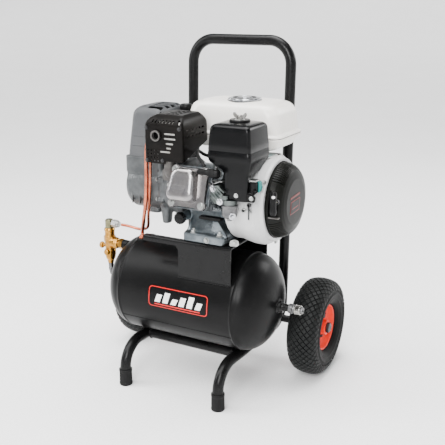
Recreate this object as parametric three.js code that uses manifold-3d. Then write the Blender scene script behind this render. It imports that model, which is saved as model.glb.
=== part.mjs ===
// Wheelbarrow air compressor: a petrol engine drives a direct-coupled piston pump on a saddle over
// a horizontal air tank, carried by a bent-tube frame with two front feet and two rear wheels.
// Millimetres. +X is to the right along the crank axis, +Y to the rear, +Z up.
import * as THREE from "three";
import { mergeVertices } from "three/addons/utils/BufferGeometryUtils.js";
import Module from "manifold-3d";

const wasm = await Module();
wasm.setup();

// Driving dimensions
const GAP = 0.3;
const FACETS = 20;

const TANK_RADIUS = 124;
const TANK_WALL = 3;
const TANK_HALF_LENGTH = 234.5;
const DOME_DEPTH = 74;
const TANK_Z = 241;

const TUBE_RADIUS = 14;
const TUBE_WALL = 1.5;
const FOOT_X = 137;
const FOOT_Y = -138;
const LEG_TOP_Z = 108;
const RUN_Z = 102;
const POST_X = 145.5;
const POST_Y = 225;
const HANDLE_Z = 865;
const HANDLE_LEAN = 22;
const CAP_HEIGHT = 44;
const CAP_FLOOR = 3;

const WHEEL_RADIUS = 130;
const WHEEL_WIDTH = 85;
const WHEEL_X = 271;
const AXLE_Y = 170;
const AXLE_RADIUS = 10;
const RIM_RADIUS = 61.5;
const HUB_HALF = 30;

const SADDLE_TOP = 406;
const SADDLE_SHEET = 3;
const SADDLE_HALF_DEPTH = 103;
const SADDLE_LEFT = -93;
const SADDLE_RIGHT = 153;
const SKIRT_LEFT = 8;
const NOTCH_RIGHT = 28;
const NOTCH_HALF_DEPTH = 87;

const CRANK_Z = 512;
const CRANK_THROW = 22.5;
const SHAFT_RADIUS = 10;
const CYLINDER_TILT = THREE.MathUtils.degToRad(16);
const BLOCK_LEFT = 18;
const BLOCK_RIGHT = 130;
const BASE_LEFT = 31;
const BASE_RIGHT = 128;
const HEAD_X = 71;
const BORE_RADIUS = 34;
const FAN_LEFT = 130;
const RECOIL_X = 232;
const RECOIL_FACE_X = 271;
const FAN_RADIUS = 104;
const RECOIL_RADIUS = 90;

// Materials
function finish(color, roughness, metalness) {
  return new THREE.MeshStandardMaterial({ color, roughness, metalness });
}
const blackPaint = finish(0x141517, 0.42, 0.2);
const tankPaint = finish(0x1d1e20, 0.38, 0.2);
const rubber = finish(0x101112, 0.85, 0);
const redPaint = finish(0xd8281c, 0.4, 0.1);
const zinc = finish(0xb9bcc0, 0.35, 0.9);
const aluminium = finish(0xa9adb1, 0.5, 0.85);
const greyCasting = finish(0x7d8084, 0.55, 0.5);
const whitePaint = finish(0xe9e7e2, 0.35, 0.05);
const glossBlack = finish(0x0b0c0d, 0.15, 0);
const heatBlack = finish(0x151413, 0.6, 0.4);
const copper = finish(0xb8654a, 0.3, 1);
const brass = finish(0xb5893a, 0.32, 1);
const chrome = finish(0xd0d2d4, 0.12, 1);
const steel = finish(0x8d8f92, 0.4, 1);
const foam = finish(0x2a2b2c, 0.95, 0);
const gasketBlack = finish(0x101010, 0.8, 0);
const switchRed = finish(0xb3231b, 0.4, 0);

const compressor = new THREE.Group();

function part(name, geometry, material, parent = compressor) {
  const mesh = new THREE.Mesh(geometry, material);
  mesh.name = name;
  parent.add(mesh);
  return mesh;
}

// Closed meshes and booleans
function closed(geometry) {
  const bare = geometry.clone();
  bare.deleteAttribute("normal");
  bare.deleteAttribute("uv");
  const merged = mergeVertices(bare, 1e-3);
  const corner = merged.index.array;
  const kept = [];
  for (let i = 0; i < corner.length; i += 3) {
    const [a, b, c] = [corner[i], corner[i + 1], corner[i + 2]];
    if (a !== b && b !== c && c !== a) kept.push(a, b, c);
  }
  const position = merged.attributes.position;
  const [p, q, r] = [new THREE.Vector3(), new THREE.Vector3(), new THREE.Vector3()];
  let volume = 0;
  for (let i = 0; i < kept.length; i += 3) {
    p.fromBufferAttribute(position, kept[i]);
    q.fromBufferAttribute(position, kept[i + 1]);
    r.fromBufferAttribute(position, kept[i + 2]);
    volume += p.dot(q.cross(r));
  }
  if (volume < 0) kept.reverse();
  merged.setIndex(kept);
  return merged;
}

function solidOf(geometry) {
  const mesh = closed(geometry);
  const vertProperties = Float32Array.from(mesh.attributes.position.array);
  const triVerts = Uint32Array.from(mesh.index.array);
  return new wasm.Manifold(new wasm.Mesh({ numProp: 3, vertProperties, triVerts }));
}

function geometryOf(solid) {
  const mesh = solid.getMesh();
  const geometry = new THREE.BufferGeometry();
  geometry.setAttribute("position", new THREE.BufferAttribute(mesh.vertProperties, 3));
  geometry.setIndex(new THREE.BufferAttribute(mesh.triVerts, 1));
  return geometry;
}

function joined(...geometries) {
  return geometryOf(geometries.map(solidOf).reduce((whole, piece) => whole.add(piece)));
}

function cut(geometry, ...tools) {
  return geometryOf(tools.map(solidOf).reduce((whole, tool) => whole.subtract(tool), solidOf(geometry)));
}

// Basic shapes
function box(x0, x1, y0, y1, z0, z1) {
  const geometry = new THREE.BoxGeometry(x1 - x0, y1 - y0, z1 - z0);
  return closed(geometry.translate((x0 + x1) / 2, (y0 + y1) / 2, (z0 + z1) / 2));
}

// A profile of [radius, distance] pairs turned about the X, Y or Z axis.
function turned(axis, profile, segments = FACETS) {
  const geometry = new THREE.LatheGeometry(profile.map(([r, d]) => new THREE.Vector2(r, d)), segments);
  if (axis === "x") geometry.rotateZ(-Math.PI / 2);
  if (axis === "z") geometry.rotateX(Math.PI / 2);
  return closed(geometry);
}

function ring(profile) {
  return [...profile, profile[0]];
}

function rod(axis, radius, from, to, segments = 16) {
  return turned(axis, [[0, from], [radius, from], [radius, to], [0, to]], segments);
}

function pipe(axis, outer, inner, from, to, segments = 16) {
  return turned(axis, ring([[inner, from], [outer, from], [outer, to], [inner, to]]), segments);
}

function roundedOutline([x0, x1, y0, y1, radius], steps) {
  const outline = [];
  const corners = [[x1, y0, -90], [x1, y1, 0], [x0, y1, 90], [x0, y0, 180]];
  for (const [x, y, start] of corners) {
    const centre = new THREE.Vector2(x + (x === x1 ? -radius : radius), y + (y === y1 ? -radius : radius));
    for (let step = 0; step <= steps; step += 1) {
      const angle = THREE.MathUtils.degToRad(start + (90 * step) / steps);
      outline.push(new THREE.Vector2(Math.cos(angle), Math.sin(angle)).multiplyScalar(radius).add(centre));
    }
  }
  return outline;
}

// A closed body through rounded rectangles [z, x0, x1, y0, y1, radius], lowest first.
function lofted(sections, steps = 2) {
  const rings = sections.map(([z, ...outline]) => ({ z, points: roundedOutline(outline, steps) }));
  const count = rings[0].points.length;
  const position = rings.flatMap(({ z, points }) => points.flatMap((point) => [point.x, point.y, z]));
  const index = [];
  for (let level = 0; level + 1 < rings.length; level += 1) {
    for (let i = 0; i < count; i += 1) {
      const [a, b] = [level * count + i, level * count + ((i + 1) % count)];
      index.push(a, b, b + count, a, b + count, a + count);
    }
  }
  const top = (rings.length - 1) * count;
  for (let i = 1; i + 1 < count; i += 1) {
    index.push(0, i + 1, i, top, top + i, top + i + 1);
  }
  const geometry = new THREE.BufferGeometry();
  geometry.setAttribute("position", new THREE.Float32BufferAttribute(position, 3));
  geometry.setIndex(index);
  return closed(geometry);
}

function extruded(points, depth) {
  const shape = new THREE.Shape(points.map(([x, y]) => new THREE.Vector2(x, y)));
  return closed(new THREE.ExtrudeGeometry(shape, { depth, bevelEnabled: false }));
}

// Bent tubes: straight stretches between corners, with a true arc of the given radius at each.
function bentRoute(corners, arcSteps) {
  const at = corners.map(([x, y, z]) => new THREE.Vector3(x, y, z));
  const route = [at[0]];
  for (let i = 1; i + 1 < at.length; i += 1) {
    const radius = corners[i][3];
    const before = at[i - 1].clone().sub(at[i]).normalize();
    const after = at[i + 1].clone().sub(at[i]).normalize();
    const half = before.angleTo(after) / 2;
    const inward = before.clone().add(after).normalize();
    const centre = at[i].clone().addScaledVector(inward, radius / Math.sin(half));
    const start = at[i].clone().addScaledVector(before, radius / Math.tan(half)).sub(centre);
    const turn = new THREE.Vector3().crossVectors(after, before).normalize();
    const sweep = Math.PI - 2 * half;
    for (let step = 0; step <= arcSteps; step += 1) {
      const angle = (-sweep * step) / arcSteps;
      route.push(start.clone().applyAxisAngle(turn, -angle).add(centre));
    }
  }
  route.push(at[at.length - 1]);
  return route;
}

class StraightStretches extends THREE.Curve {
  constructor(points) {
    super();
    this.points = points;
  }
  getPoint(t) {
    const place = t * (this.points.length - 1);
    const i = Math.min(Math.floor(place), this.points.length - 2);
    return this.points[i].clone().lerp(this.points[i + 1], place - i);
  }
  getPointAt(t) {
    return this.getPoint(t);
  }
  getTangentAt(t) {
    const last = this.points.length - 1;
    const i = Math.round(t * last);
    const between = (from, to) => this.points[to].clone().sub(this.points[from]).normalize();
    const ahead = between(Math.min(i, last - 1), Math.min(i + 1, last));
    const behind = between(Math.max(i - 1, 0), Math.max(i, 1));
    return ahead.add(behind).normalize();
  }
}

function circle(radius, sides) {
  return Array.from({ length: sides }, (_, i) => {
    const angle = (2 * Math.PI * i) / sides;
    return new THREE.Vector2(radius * Math.cos(angle), radius * Math.sin(angle));
  });
}

function bentTube(corners, radius, { wall = 0, sides = 9, arcSteps = 4 } = {}) {
  const route = bentRoute(corners, arcSteps);
  const section = new THREE.Shape(circle(radius, sides));
  if (wall > 0) section.holes.push(new THREE.Path(circle(radius - wall, sides).reverse()));
  const extrudePath = new StraightStretches(route);
  const steps = route.length - 1;
  return closed(new THREE.ExtrudeGeometry(section, { steps, extrudePath, bevelEnabled: false }));
}

// Frame: one bent tube from foot to foot, a cross tube, and an axle in two welded saddles
function frameSide(side) {
  return [
    [side * FOOT_X, FOOT_Y, CAP_FLOOR + GAP, 0],
    [side * FOOT_X, FOOT_Y, LEG_TOP_Z, 62],
    [side * 139, -12, RUN_Z, 300],
    [side * POST_X, POST_Y, RUN_Z, 60],
    [side * POST_X, POST_Y + HANDLE_LEAN, HANDLE_Z, 62],
  ];
}
const tubeCorners = [...frameSide(-1), ...frameSide(1).reverse()];
part("frame_tube", bentTube(tubeCorners, TUBE_RADIUS, { wall: TUBE_WALL }), blackPaint);

const crossHalf = 139 - TUBE_RADIUS - 1.5;
const crossTube = pipe("x", TUBE_RADIUS, TUBE_RADIUS - TUBE_WALL, -crossHalf, crossHalf, 14);
part("front_crossbar", crossTube, blackPaint).position.set(0, -27, RUN_Z + 1);

const axleHalf = 309;
part("axle", rod("x", AXLE_RADIUS, -axleHalf, axleHalf), steel).position.set(0, AXLE_Y, WHEEL_RADIUS);

const axleSaddle = cut(
  box(-14, 14, AXLE_Y - 16, AXLE_Y + 12, RUN_Z + TUBE_RADIUS - 6, WHEEL_RADIUS - 1),
  rod("x", AXLE_RADIUS + GAP, -20, 20).translate(0, AXLE_Y, WHEEL_RADIUS),
);
const saddleRelief = bentTube(
  [[0, 0, RUN_Z, 0], [0, POST_Y, RUN_Z, 60], [0, POST_Y + HANDLE_LEAN, HANDLE_Z, 0]],
  TUBE_RADIUS + 2.5,
);
for (const [name, side] of [["left", -1], ["right", 1]]) {
  part(`axle_saddle_${name}`, cut(axleSaddle, saddleRelief), blackPaint).position.x = side * POST_X;
}

const CAP_BORE = TUBE_RADIUS + 0.6;
const footCap = turned("z", [
  [0, 0], [16.4, 0], [17.3, 2], [17, CAP_HEIGHT],
  [CAP_BORE, CAP_HEIGHT], [CAP_BORE, CAP_FLOOR], [0, CAP_FLOOR],
], 16);
for (const [name, side] of [["left", -1], ["right", 1]]) {
  part(`foot_cap_${name}`, footCap, rubber).position.set(side * FOOT_X, FOOT_Y, 0);
}

// Wheels
const tyreOuter = [[62, 21], [74, 38], [97, WHEEL_WIDTH / 2], [117, 38], [127.5, 21], [WHEEL_RADIUS, 0]];
const tyreInner = [[68, 23], [97, 35], [118, 26], [123, 0]];
function mirrored(half) {
  return [...half, ...half.slice(0, -1).reverse().map(([r, d]) => [r, -d])];
}
const tyreProfile = ring([...mirrored(tyreOuter), ...mirrored(tyreInner).reverse()]);
const tyre = turned("x", tyreProfile);
const rim = turned("x", ring([
  [RIM_RADIUS, -26], [RIM_RADIUS, 26], [57, 26], [52, 14], [24, 12], [20, HUB_HALF],
  [AXLE_RADIUS + 0.5, HUB_HALF], [AXLE_RADIUS + 0.5, -HUB_HALF], [20, -HUB_HALF], [24, 8], [51, 9], [57, -26],
]));
const wheelNut = cut(
  rod("x", 15, HUB_HALF + 0.5, HUB_HALF + 8, 6),
  rod("x", AXLE_RADIUS + GAP, HUB_HALF, HUB_HALF + 9),
);
for (const [name, side] of [["left", -1], ["right", 1]]) {
  const wheel = new THREE.Group();
  wheel.position.set(side * WHEEL_X, AXLE_Y, WHEEL_RADIUS);
  wheel.rotation.z = side < 0 ? Math.PI : 0;
  compressor.add(wheel);
  part(`tyre_${name}`, tyre, rubber, wheel);
  part(`rim_${name}`, rim, redPaint, wheel);
  part(`wheel_nut_${name}`, wheelNut, zinc, wheel);
}

// Air tank: a rolled shell with two elliptical domes, an outlet at the right and a drain below
const PORT_RADIUS = 11;
const DOME_STEPS = 5;
const TANK_FACETS = 24;
function domeProfile(radius, depth, straight, steps, endRadius) {
  const lastAngle = Math.acos(endRadius / radius);
  return Array.from({ length: steps + 1 }, (_, i) => {
    const angle = (lastAngle * i) / steps;
    return [radius * Math.cos(angle), straight + depth * Math.sin(angle)];
  });
}
const straightHalf = TANK_HALF_LENGTH - DOME_DEPTH;
const innerRadius = TANK_RADIUS - TANK_WALL;
const innerDepth = DOME_DEPTH - TANK_WALL;
function leftDome(radius, depth) {
  const right = domeProfile(radius, depth, straightHalf, DOME_STEPS, 0);
  return right.reverse().map(([r, d]) => [Math.max(r, 0), -d]);
}
const tankOutside = [
  ...leftDome(TANK_RADIUS, DOME_DEPTH),
  ...domeProfile(TANK_RADIUS, DOME_DEPTH, straightHalf, DOME_STEPS, 0),
];
tankOutside[0][0] = 0;
tankOutside[tankOutside.length - 1][0] = 0;
const tankProfile = [
  ...leftDome(TANK_RADIUS, DOME_DEPTH),
  ...domeProfile(TANK_RADIUS, DOME_DEPTH, straightHalf, DOME_STEPS, PORT_RADIUS),
  ...domeProfile(innerRadius, innerDepth, straightHalf, DOME_STEPS, PORT_RADIUS).reverse(),
  ...leftDome(innerRadius, innerDepth).reverse(),
];
tankProfile[0][0] = 0;
tankProfile[tankProfile.length - 1][0] = 0;
const drainHole = rod("z", 6.4, -TANK_RADIUS - 5, -TANK_RADIUS + 12, 12).translate(0, 14, 0);
part("tank_shell", cut(turned("x", tankProfile, TANK_FACETS), drainHole), tankPaint).position.z = TANK_Z;

const outlet = new THREE.Group();
outlet.position.set(TANK_HALF_LENGTH, 0, TANK_Z);
compressor.add(outlet);
part("outlet_nipple", turned("x", ring([
  [5, -9], [PORT_RADIUS - GAP, -9], [PORT_RADIUS - GAP, 1], [15, 1], [15, 8], [9, 10], [9, 27], [5, 27],
]), 12), blackPaint, outlet);
part("coupler_body", turned("x", ring([
  [4, 27.3], [12, 27.3], [12, 37], [8.5, 38], [8.5, 62.5], [8, 63.5], [4, 63.5],
]), 12), zinc, outlet);
part("coupler_sleeve", pipe("x", 12.4, 8.9, 43, 58, 14), chrome, outlet);

const drain = new THREE.Group();
drain.position.set(0, 14, TANK_Z - TANK_RADIUS);
compressor.add(drain);
part("drain_valve", turned("z", ring([
  [2, -16], [7, -16], [7, -4], [6.1, -2.5], [6.1, 8], [2, 8],
]), 12), brass, drain);
part("drain_knob", joined(rod("z", 8, -24, -16.3, 10), box(-12, 12, -2, 2, -23, -17)), brass, drain);

// Saddle: a bent sheet with full-depth skirts on its right half, notched on its left to two lipped strips
function skirtOutline() {
  const deep = TANK_Z + 40;
  return [
    [SADDLE_LEFT, SADDLE_TOP], [SADDLE_LEFT, 394], [SADDLE_LEFT + 4, 390.5], [SKIRT_LEFT - 9, 390.5],
    [SKIRT_LEFT - 2.5, 388], [SKIRT_LEFT, 381.5], [SKIRT_LEFT, deep], [SADDLE_RIGHT, deep],
    [SADDLE_RIGHT, SADDLE_TOP],
  ];
}
const skirt = extruded(skirtOutline(), SADDLE_SHEET).rotateX(Math.PI / 2);
const saddle = cut(
  joined(
    box(
      SADDLE_LEFT, SADDLE_RIGHT, -SADDLE_HALF_DEPTH, SADDLE_HALF_DEPTH,
      SADDLE_TOP - SADDLE_SHEET, SADDLE_TOP,
    ),
    skirt.clone().translate(0, -SADDLE_HALF_DEPTH + SADDLE_SHEET, 0),
    skirt.clone().translate(0, SADDLE_HALF_DEPTH, 0),
  ),
  rod("x", TANK_RADIUS + 0.5, -160, 160, TANK_FACETS).translate(0, 0, TANK_Z),
  box(SADDLE_LEFT - 5, NOTCH_RIGHT, -NOTCH_HALF_DEPTH, NOTCH_HALF_DEPTH, SADDLE_TOP - 10, SADDLE_TOP + 5),
);
part("saddle_plate", saddle, blackPaint);

// Engine block: base flange, crank chamber open to the pump, and the tilted barrel with its bore
const engine = new THREE.Group();
engine.position.z = CRANK_Z;
compressor.add(engine);
const baseZ = SADDLE_TOP + GAP - CRANK_Z;
function tilted(geometry) {
  return geometry.rotateX(-CYLINDER_TILT);
}
const OIL_NECK_X = 17;
const OIL_NECK_Z = -48;
const crankcase = cut(
  joined(
    box(BASE_LEFT, BASE_RIGHT, -96, 86, baseZ, baseZ + 12),
    box(BLOCK_LEFT + 4, BASE_RIGHT, -66, 66, baseZ + 6, 10),
    rod("x", 68, BLOCK_LEFT, BLOCK_RIGHT),
    tilted(box(HEAD_X - 45, HEAD_X + 45, -118, 0, -45, 45)),
    rod("y", 12, -98, -62, 12).translate(OIL_NECK_X, 0, OIL_NECK_Z),
  ),
  rod("x", 54, BLOCK_LEFT - 5, BLOCK_RIGHT - 10),
  rod("x", SHAFT_RADIUS + 0.5, 80, 140),
  tilted(rod("y", BORE_RADIUS, -130, -20, FACETS).translate(HEAD_X, 0, 0)),
);
part("crankcase", crankcase, aluminium, engine);
part("oil_filler_cap", turned("y", [
  [0, -98.3], [14, -98.3], [15, -101], [15, -109], [12, -113], [0, -114],
], 14), glossBlack, engine).position.set(OIL_NECK_X, 0, OIL_NECK_Z);

const crankAxis = new THREE.Vector3(1, 0, 0);
const crankPin = new THREE.Vector3(0, -CRANK_THROW, 0).applyAxisAngle(crankAxis, -CYLINDER_TILT);
part("crankshaft", joined(
  rod("x", SHAFT_RADIUS, -60, HEAD_X - 20, 12),
  rod("x", 32, HEAD_X - 22, HEAD_X - 11),
  rod("x", 9, HEAD_X - 15, HEAD_X + 15, 12).translate(0, crankPin.y, crankPin.z),
  rod("x", 32, HEAD_X + 11, HEAD_X + 22),
  rod("x", SHAFT_RADIUS, HEAD_X + 20, 190, 12),
), steel, engine);
part("flywheel_fan", turned("x", ring([
  [SHAFT_RADIUS + GAP, 142], [30, 142], [90, 152], [95, 196], [90, 196], [82, 160], [30, 156], [20, 188],
  [SHAFT_RADIUS + GAP, 188],
])), aluminium, engine);

// Barrel group: local -Y runs out along the tilted cylinder
const barrel = new THREE.Group();
barrel.rotation.x = -CYLINDER_TILT;
barrel.position.x = HEAD_X;
engine.add(barrel);
const PLUG_X = 62;
const PLUG_Z = 38;
part("piston", cut(
  rod("y", BORE_RADIUS - 0.5, -117, -83, FACETS),
  rod("y", 28, -111, -80),
), aluminium, barrel);
part("cylinder_head", cut(
  joined(box(-50, 50, -155, -118.3, -50, 50), box(40, 73, -140, -122, PLUG_Z - 13, PLUG_Z + 11)),
  rod("y", 7.3, -145, -128, 12).translate(PLUG_X, 0, PLUG_Z),
), aluminium, barrel);
function flange(halfWidth, from, to) {
  return lofted([
    [from, -halfWidth, halfWidth, -halfWidth, halfWidth, 12],
    [to, -halfWidth, halfWidth, -halfWidth, halfWidth, 12],
  ]).rotateX(Math.PI / 2);
}
part("cover_gasket", flange(49, 155.3, 156.8), gasketBlack, barrel);
const coverDome = lofted([
  [160, -45, 25, -35, 43, 14],
  [179, -43, 23, -32, 41, 16],
  [186, -35, 15, -24, 33, 14],
]).rotateX(Math.PI / 2);
const coverHollow = lofted([
  [150, -42, 22, -32, 40, 12],
  [181, -38, 18, -28, 36, 12],
], 2).rotateX(Math.PI / 2);
part("valve_cover", cut(joined(flange(49, 157.1, 163), coverDome), coverHollow), aluminium, barrel);

const plug = new THREE.Group();
plug.position.set(PLUG_X, 0, PLUG_Z);
barrel.add(plug);
part("spark_plug", turned("y", [
  [0, -129], [6.8, -129], [6.8, -140.3], [10, -140.3], [10, -148], [5, -148], [5, -160], [0, -160],
].reverse(), 10), steel, plug);
part("spark_plug_cap", cut(
  joined(rod("y", 11, -176, -150, 12), rod("x", 9, -35, 16, 12).translate(0, -174, 0)),
  rod("y", 5.4, -161, -140, 12),
), rubber, plug);

// A free-form cable or pipe through hand-placed points
function routed(points, radius, steps, sides = 7) {
  const curve = new THREE.CatmullRomCurve3(points.map(([x, y, z]) => new THREE.Vector3(x, y, z)));
  const section = new THREE.Shape(circle(radius, sides));
  return closed(new THREE.ExtrudeGeometry(section, { steps, extrudePath: curve, bevelEnabled: false }));
}
part("ignition_lead", routed([
  [115, -156.7, 609.5], [111, -155, 613.5], [99, -145, 619], [84, -130, 625], [70, -112, 630], [63, -90, 628],
  [64, -66, 616], [80, -44, 605], [104, -32, 600], [129.8, -30, 600],
], 4.5, 26, 6), rubber);

// Muffler: inner box on its exhaust elbow, under a pressed guard that is open below
part("muffler_body", joined(
  lofted([[612, -46, 40, -126, -44, 14], [682, -46, 40, -126, -44, 14]]),
  rod("z", 14, 572, 620, 12).translate(2, -120, 0),
  box(-8, 20.6, -134, -106, 560, 584),
  pipe("y", 10, 7, -146, -120, 14).translate(-22, 0, 665),
), heatBlack);
const guardRelief = extruded([[-160, 590], [-160, 607], [-20, 644], [-20, 590]], 58)
  .rotateX(Math.PI / 2).rotateZ(Math.PI / 2).translate(2, 0, 0);
part("muffler_guard", cut(
  lofted([
    [600, -56, 50, -140, -21, 6], [693, -56, 48, -140, -21, 6], [703, -49, 42, -132, -26, 6],
    [711, -36, 32, -112, -33, 6],
  ], 2),
  lofted([[590, -54, 48, -138, -23, 5], [692, -54, 46, -138, -23, 5], [707, -40, 34, -114, -33, 5]], 2),
  rod("y", 13, -150, -130, 14).translate(-22, 0, 665),
  guardRelief,
), heatBlack);

// Carburettor and air cleaner
const BOWL_X = 164;
const BOWL_Y = -130;
part("carburettor", joined(
  box(121.6, 149, -148, -110, 524, 567),
  box(136, BOWL_X + 14, -147, -113, 523, 532),
), zinc);
part("float_bowl", turned("z", [
  [0, 484], [6, 484], [6, 491], [14, 493], [18, 499], [18, 516], [19, 517], [19, 522.7], [0, 522.7],
], 16), zinc).position.set(BOWL_X, BOWL_Y, 0);

const CLEANER_X = 160;
const CLEANER_Y = -74;
const CLEANER_TOP = 703;
const NUT_Z = CLEANER_TOP + 4.4;
part("air_cleaner_base", cut(
  joined(
    lofted([[533, 150, 210, -136, -113, 8], [625, 150, 210, -136, -113, 8]], 2),
    lofted([[616, 110, 215, -136, -32, 7], [625.7, 110, 215, -136, -32, 7]], 2),
    rod("z", 3, 620, NUT_Z + 9, 8).translate(CLEANER_X, CLEANER_Y, 0),
  ),
  lofted([[536, 153, 207, -133, -116, 6], [640, 153, 207, -133, -116, 6]], 2),
), glossBlack);
part("air_cleaner_element", pipe("z", 36, 24, 626.2, 684, 20), foam)
  .position.set(CLEANER_X, CLEANER_Y - 10, 0);
part("air_cleaner_cover", cut(
  joined(
    lofted([
      [626, 108, 217, -137, -30, 8], [692, 113, 212, -133, -33, 8], [699, 117, 208, -129, -37, 9],
      [CLEANER_TOP, 126, 199, -119, -45, 10],
    ], 2),
    rod("z", 24, CLEANER_TOP - 3, CLEANER_TOP + 4, 20).translate(CLEANER_X, CLEANER_Y, 0),
  ),
  lofted([[620, 110, 215, -135, -32, 6], [690, 115, 210, -131, -35, 6], [700, 123, 202, -122, -42, 8]], 2),
  rod("z", 3.6, 690, 715, 8).translate(CLEANER_X, CLEANER_Y, 0),
), glossBlack);
part("wing_nut", cut(
  joined(rod("z", 7, 0, 9, 10), box(-17, 17, -2, 2, 2, 15)),
  rod("z", 3.4, -5, 10.5, 8),
), chrome).position.set(CLEANER_X, CLEANER_Y, NUT_Z);

// Controls
part("engine_switch_box", box(215, 228, -124, -112, 533, 577), glossBlack);
part("engine_switch_knob", joined(rod("y", 6, -129, -124.3, 12), box(-2, 2, -134, -127, -6, 6)), switchRed)
  .position.set(221.5, 0, 556);
part("choke_lever", joined(rod("y", 5, -124, -118, 10), box(-2, 2, -124, -121, -34, 2)), zinc)
  .position.set(208, 0, 524);
part("fuel_valve_lever", joined(rod("y", 5, -117, -112, 10), box(-2.5, 22, -117, -114, -2.5, 2.5)), zinc)
  .position.set(191, 0, 508);
part("throttle_lever", joined(rod("z", 6, 0, 4, 10), box(-3, 3, -44, 0, 0.5, 3.5)), zinc)
  .position.set(80, 10, 601);

// Fuel tank halves seamed at a flange, and the turn-lock cap
const TANK_SEAM_Z = 652;
// A wall of the given thickness around lofted sections, open at the bottom or at the top.
function shell(sections, wall, openDown) {
  const shift = openDown ? -wall : wall;
  const inner = sections.map(([z, x0, x1, y0, y1, radius]) => (
    [z + shift, x0 + wall, x1 - wall, y0 + wall, y1 - wall, radius - wall]
  ));
  return cut(lofted(sections), lofted(inner));
}
part("fuel_tank_lower", shell([
  [617, 6, 190, 20, 134, 20], [624, -15, 204, 8, 148, 24], [646, -27, 213, 3, 156, 24],
  [647, -34, 222, -2, 162, 28], [TANK_SEAM_Z, -34, 222, -2, 162, 28],
], 2.2, false), whitePaint);
part("fuel_tank_upper", cut(shell([
  [TANK_SEAM_Z + GAP, -34, 222, -2, 162, 28], [657, -34, 222, -2, 162, 28], [658, -29, 216, 4, 156, 26],
  [705, -29, 211, 7, 154, 28], [720, -24, 203, 10, 151, 32], [728, -11, 190, 20, 142, 34],
  [732, 16, 168, 40, 122, 30],
], 2.2, true), rod("z", 24, 700, 745).translate(102, 66, 0)), whitePaint);
part("fuel_cap", turned("z", [
  [0, 720], [22, 720], [22, 732.6], [38, 732.6], [41, 735], [41, 742], [37, 745], [0, 746],
], 20), chrome).position.set(102, 66, 0);

// Fan cover, recoil housing and starter
const fanTop = 102;
const fanDrum = turned("x", ring([
  [22, 130.3], [98, 130.3], [FAN_RADIUS, 136], [FAN_RADIUS, 156], [111, 190], [110, 212],
  [92, RECOIL_X - GAP],
  [89, RECOIL_X - GAP], [107, 210], [108, 190], [101, 157], [101, 137], [96, 132.8], [22, 132.8],
]));
part("fan_cover", joined(
  cut(fanDrum, box(120, 240, -60, 60, fanTop, 120)),
  box(132, 218, -43, 43, fanTop - 2.5, fanTop - 0.2),
), whitePaint, engine);
const recoil = turned("x", [
  [0, RECOIL_FACE_X], [57, RECOIL_FACE_X], [73, 266], [82, 257], [88, 247], [RECOIL_RADIUS, 240],
  [RECOIL_RADIUS, RECOIL_X],
  [87, RECOIL_X], [87, 239], [85, 246], [79, 255], [71, 263], [56, 268], [0, 268],
]);
const GRIP_X = 257;
const GRIP_Z = 16;
const ropeHole = rod("y", 4, -110, -60, 10).translate(GRIP_X, 0, GRIP_Z);
part("recoil_housing", cut(recoil, ropeHole), glossBlack, engine);
part("starter_grip", lofted([
  [GRIP_Z - 28, -6, 6, -104, -94, 4], [GRIP_Z - 22, -8, 8, -106, -90, 6], [GRIP_Z + 22, -8, 8, -106, -90, 6],
  [GRIP_Z + 28, -6, 6, -104, -94, 4],
]), glossBlack, engine).position.x = GRIP_X;

// Pump: bell and crankcase around the shared crank axis, finned barrel under a vented shroud
const pump = new THREE.Group();
pump.position.z = CRANK_Z;
compressor.add(pump);
const PUMP_X = -112;
part("pump_crankcase", cut(
  joined(
    turned("x", [
      [0, -176], [44, -176], [58, -171], [63, -160], [63, -66], [74, -20], [78, -12], [78, 2],
      [62, 4], [62, BLOCK_LEFT - GAP],
      [0, BLOCK_LEFT - GAP],
    ]),
    lofted([[0, -176, -66, -56, 72, 14], [40.6, -174, -66, -52, 72, 10]], 2),
    lofted([[-88, -74, -54, -46, -22, 9], [-40, -78, -50, -50, -18, 10]]),
    lofted([[-69, -134, -90, -32, 34, 10], [-30, -144, -84, -38, 38, 14]]),
  ),
  turned("x", [[0, -160], [36, -158], [36, -66], [60, -10], [60, 30], [0, 30]], 16),
  rod("z", 37, 20, 60).translate(PUMP_X, 8, 0),
  box(-180, -64, -90, 90, 40.7, 90),
), greyCasting, pump);
const FIN_COUNT = 4;
const fins = [];
for (let i = 0; i < FIN_COUNT; i += 1) {
  const z = 54 + i * 16;
  fins.push([33, z], [41, z], [41, z + 4], [33, z + 4]);
}
part("pump_head", turned("z", [
  [0, 110], [25, 106], [25, 22], [33, 22], ...fins, [33, 122], [40, 122], [40, 140], [0, 140],
], 14), greyCasting, pump).position.set(PUMP_X, 8, 0);
part("pump_shroud", shell([
  [41, -174, -66, -52, 72, 10], [110, -164, -66, -52, 72, 12], [185, -153, -66, -50, 70, 14],
  [197, -147, -69, -44, 65, 16], [203, -136, -76, -34, 57, 14],
], 2.5, true), greyCasting, pump);
const FILTER_X = -49.8;
const FILTER_Y = 42;
part("intake_filter", joined(
  turned("z", [
    [0, 160], [12, 160], [15.5, 164], [15.5, 198], [13, 204], [0, 204],
  ], 14).translate(FILTER_X, FILTER_Y, 0),
  rod("x", 7, -65.6, FILTER_X, 10).translate(0, FILTER_Y, 172),
), glossBlack, pump);

// Copper pipes from the pump head to the tank and to the pilot valve
const DELIVERY_END = [-150, -22];
part("delivery_pipe", routed([
  [-93, -52.4, 640], [-93, -68, 638], [-93, -76, 620], [-95, -76, 590], [-97.5, -75, 530], [-102, -74, 480],
  [-112, -68, 440], [-130, -48, 405], [...DELIVERY_END, 385], [...DELIVERY_END, 365.5],
], 5.2, 20), copper);

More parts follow.
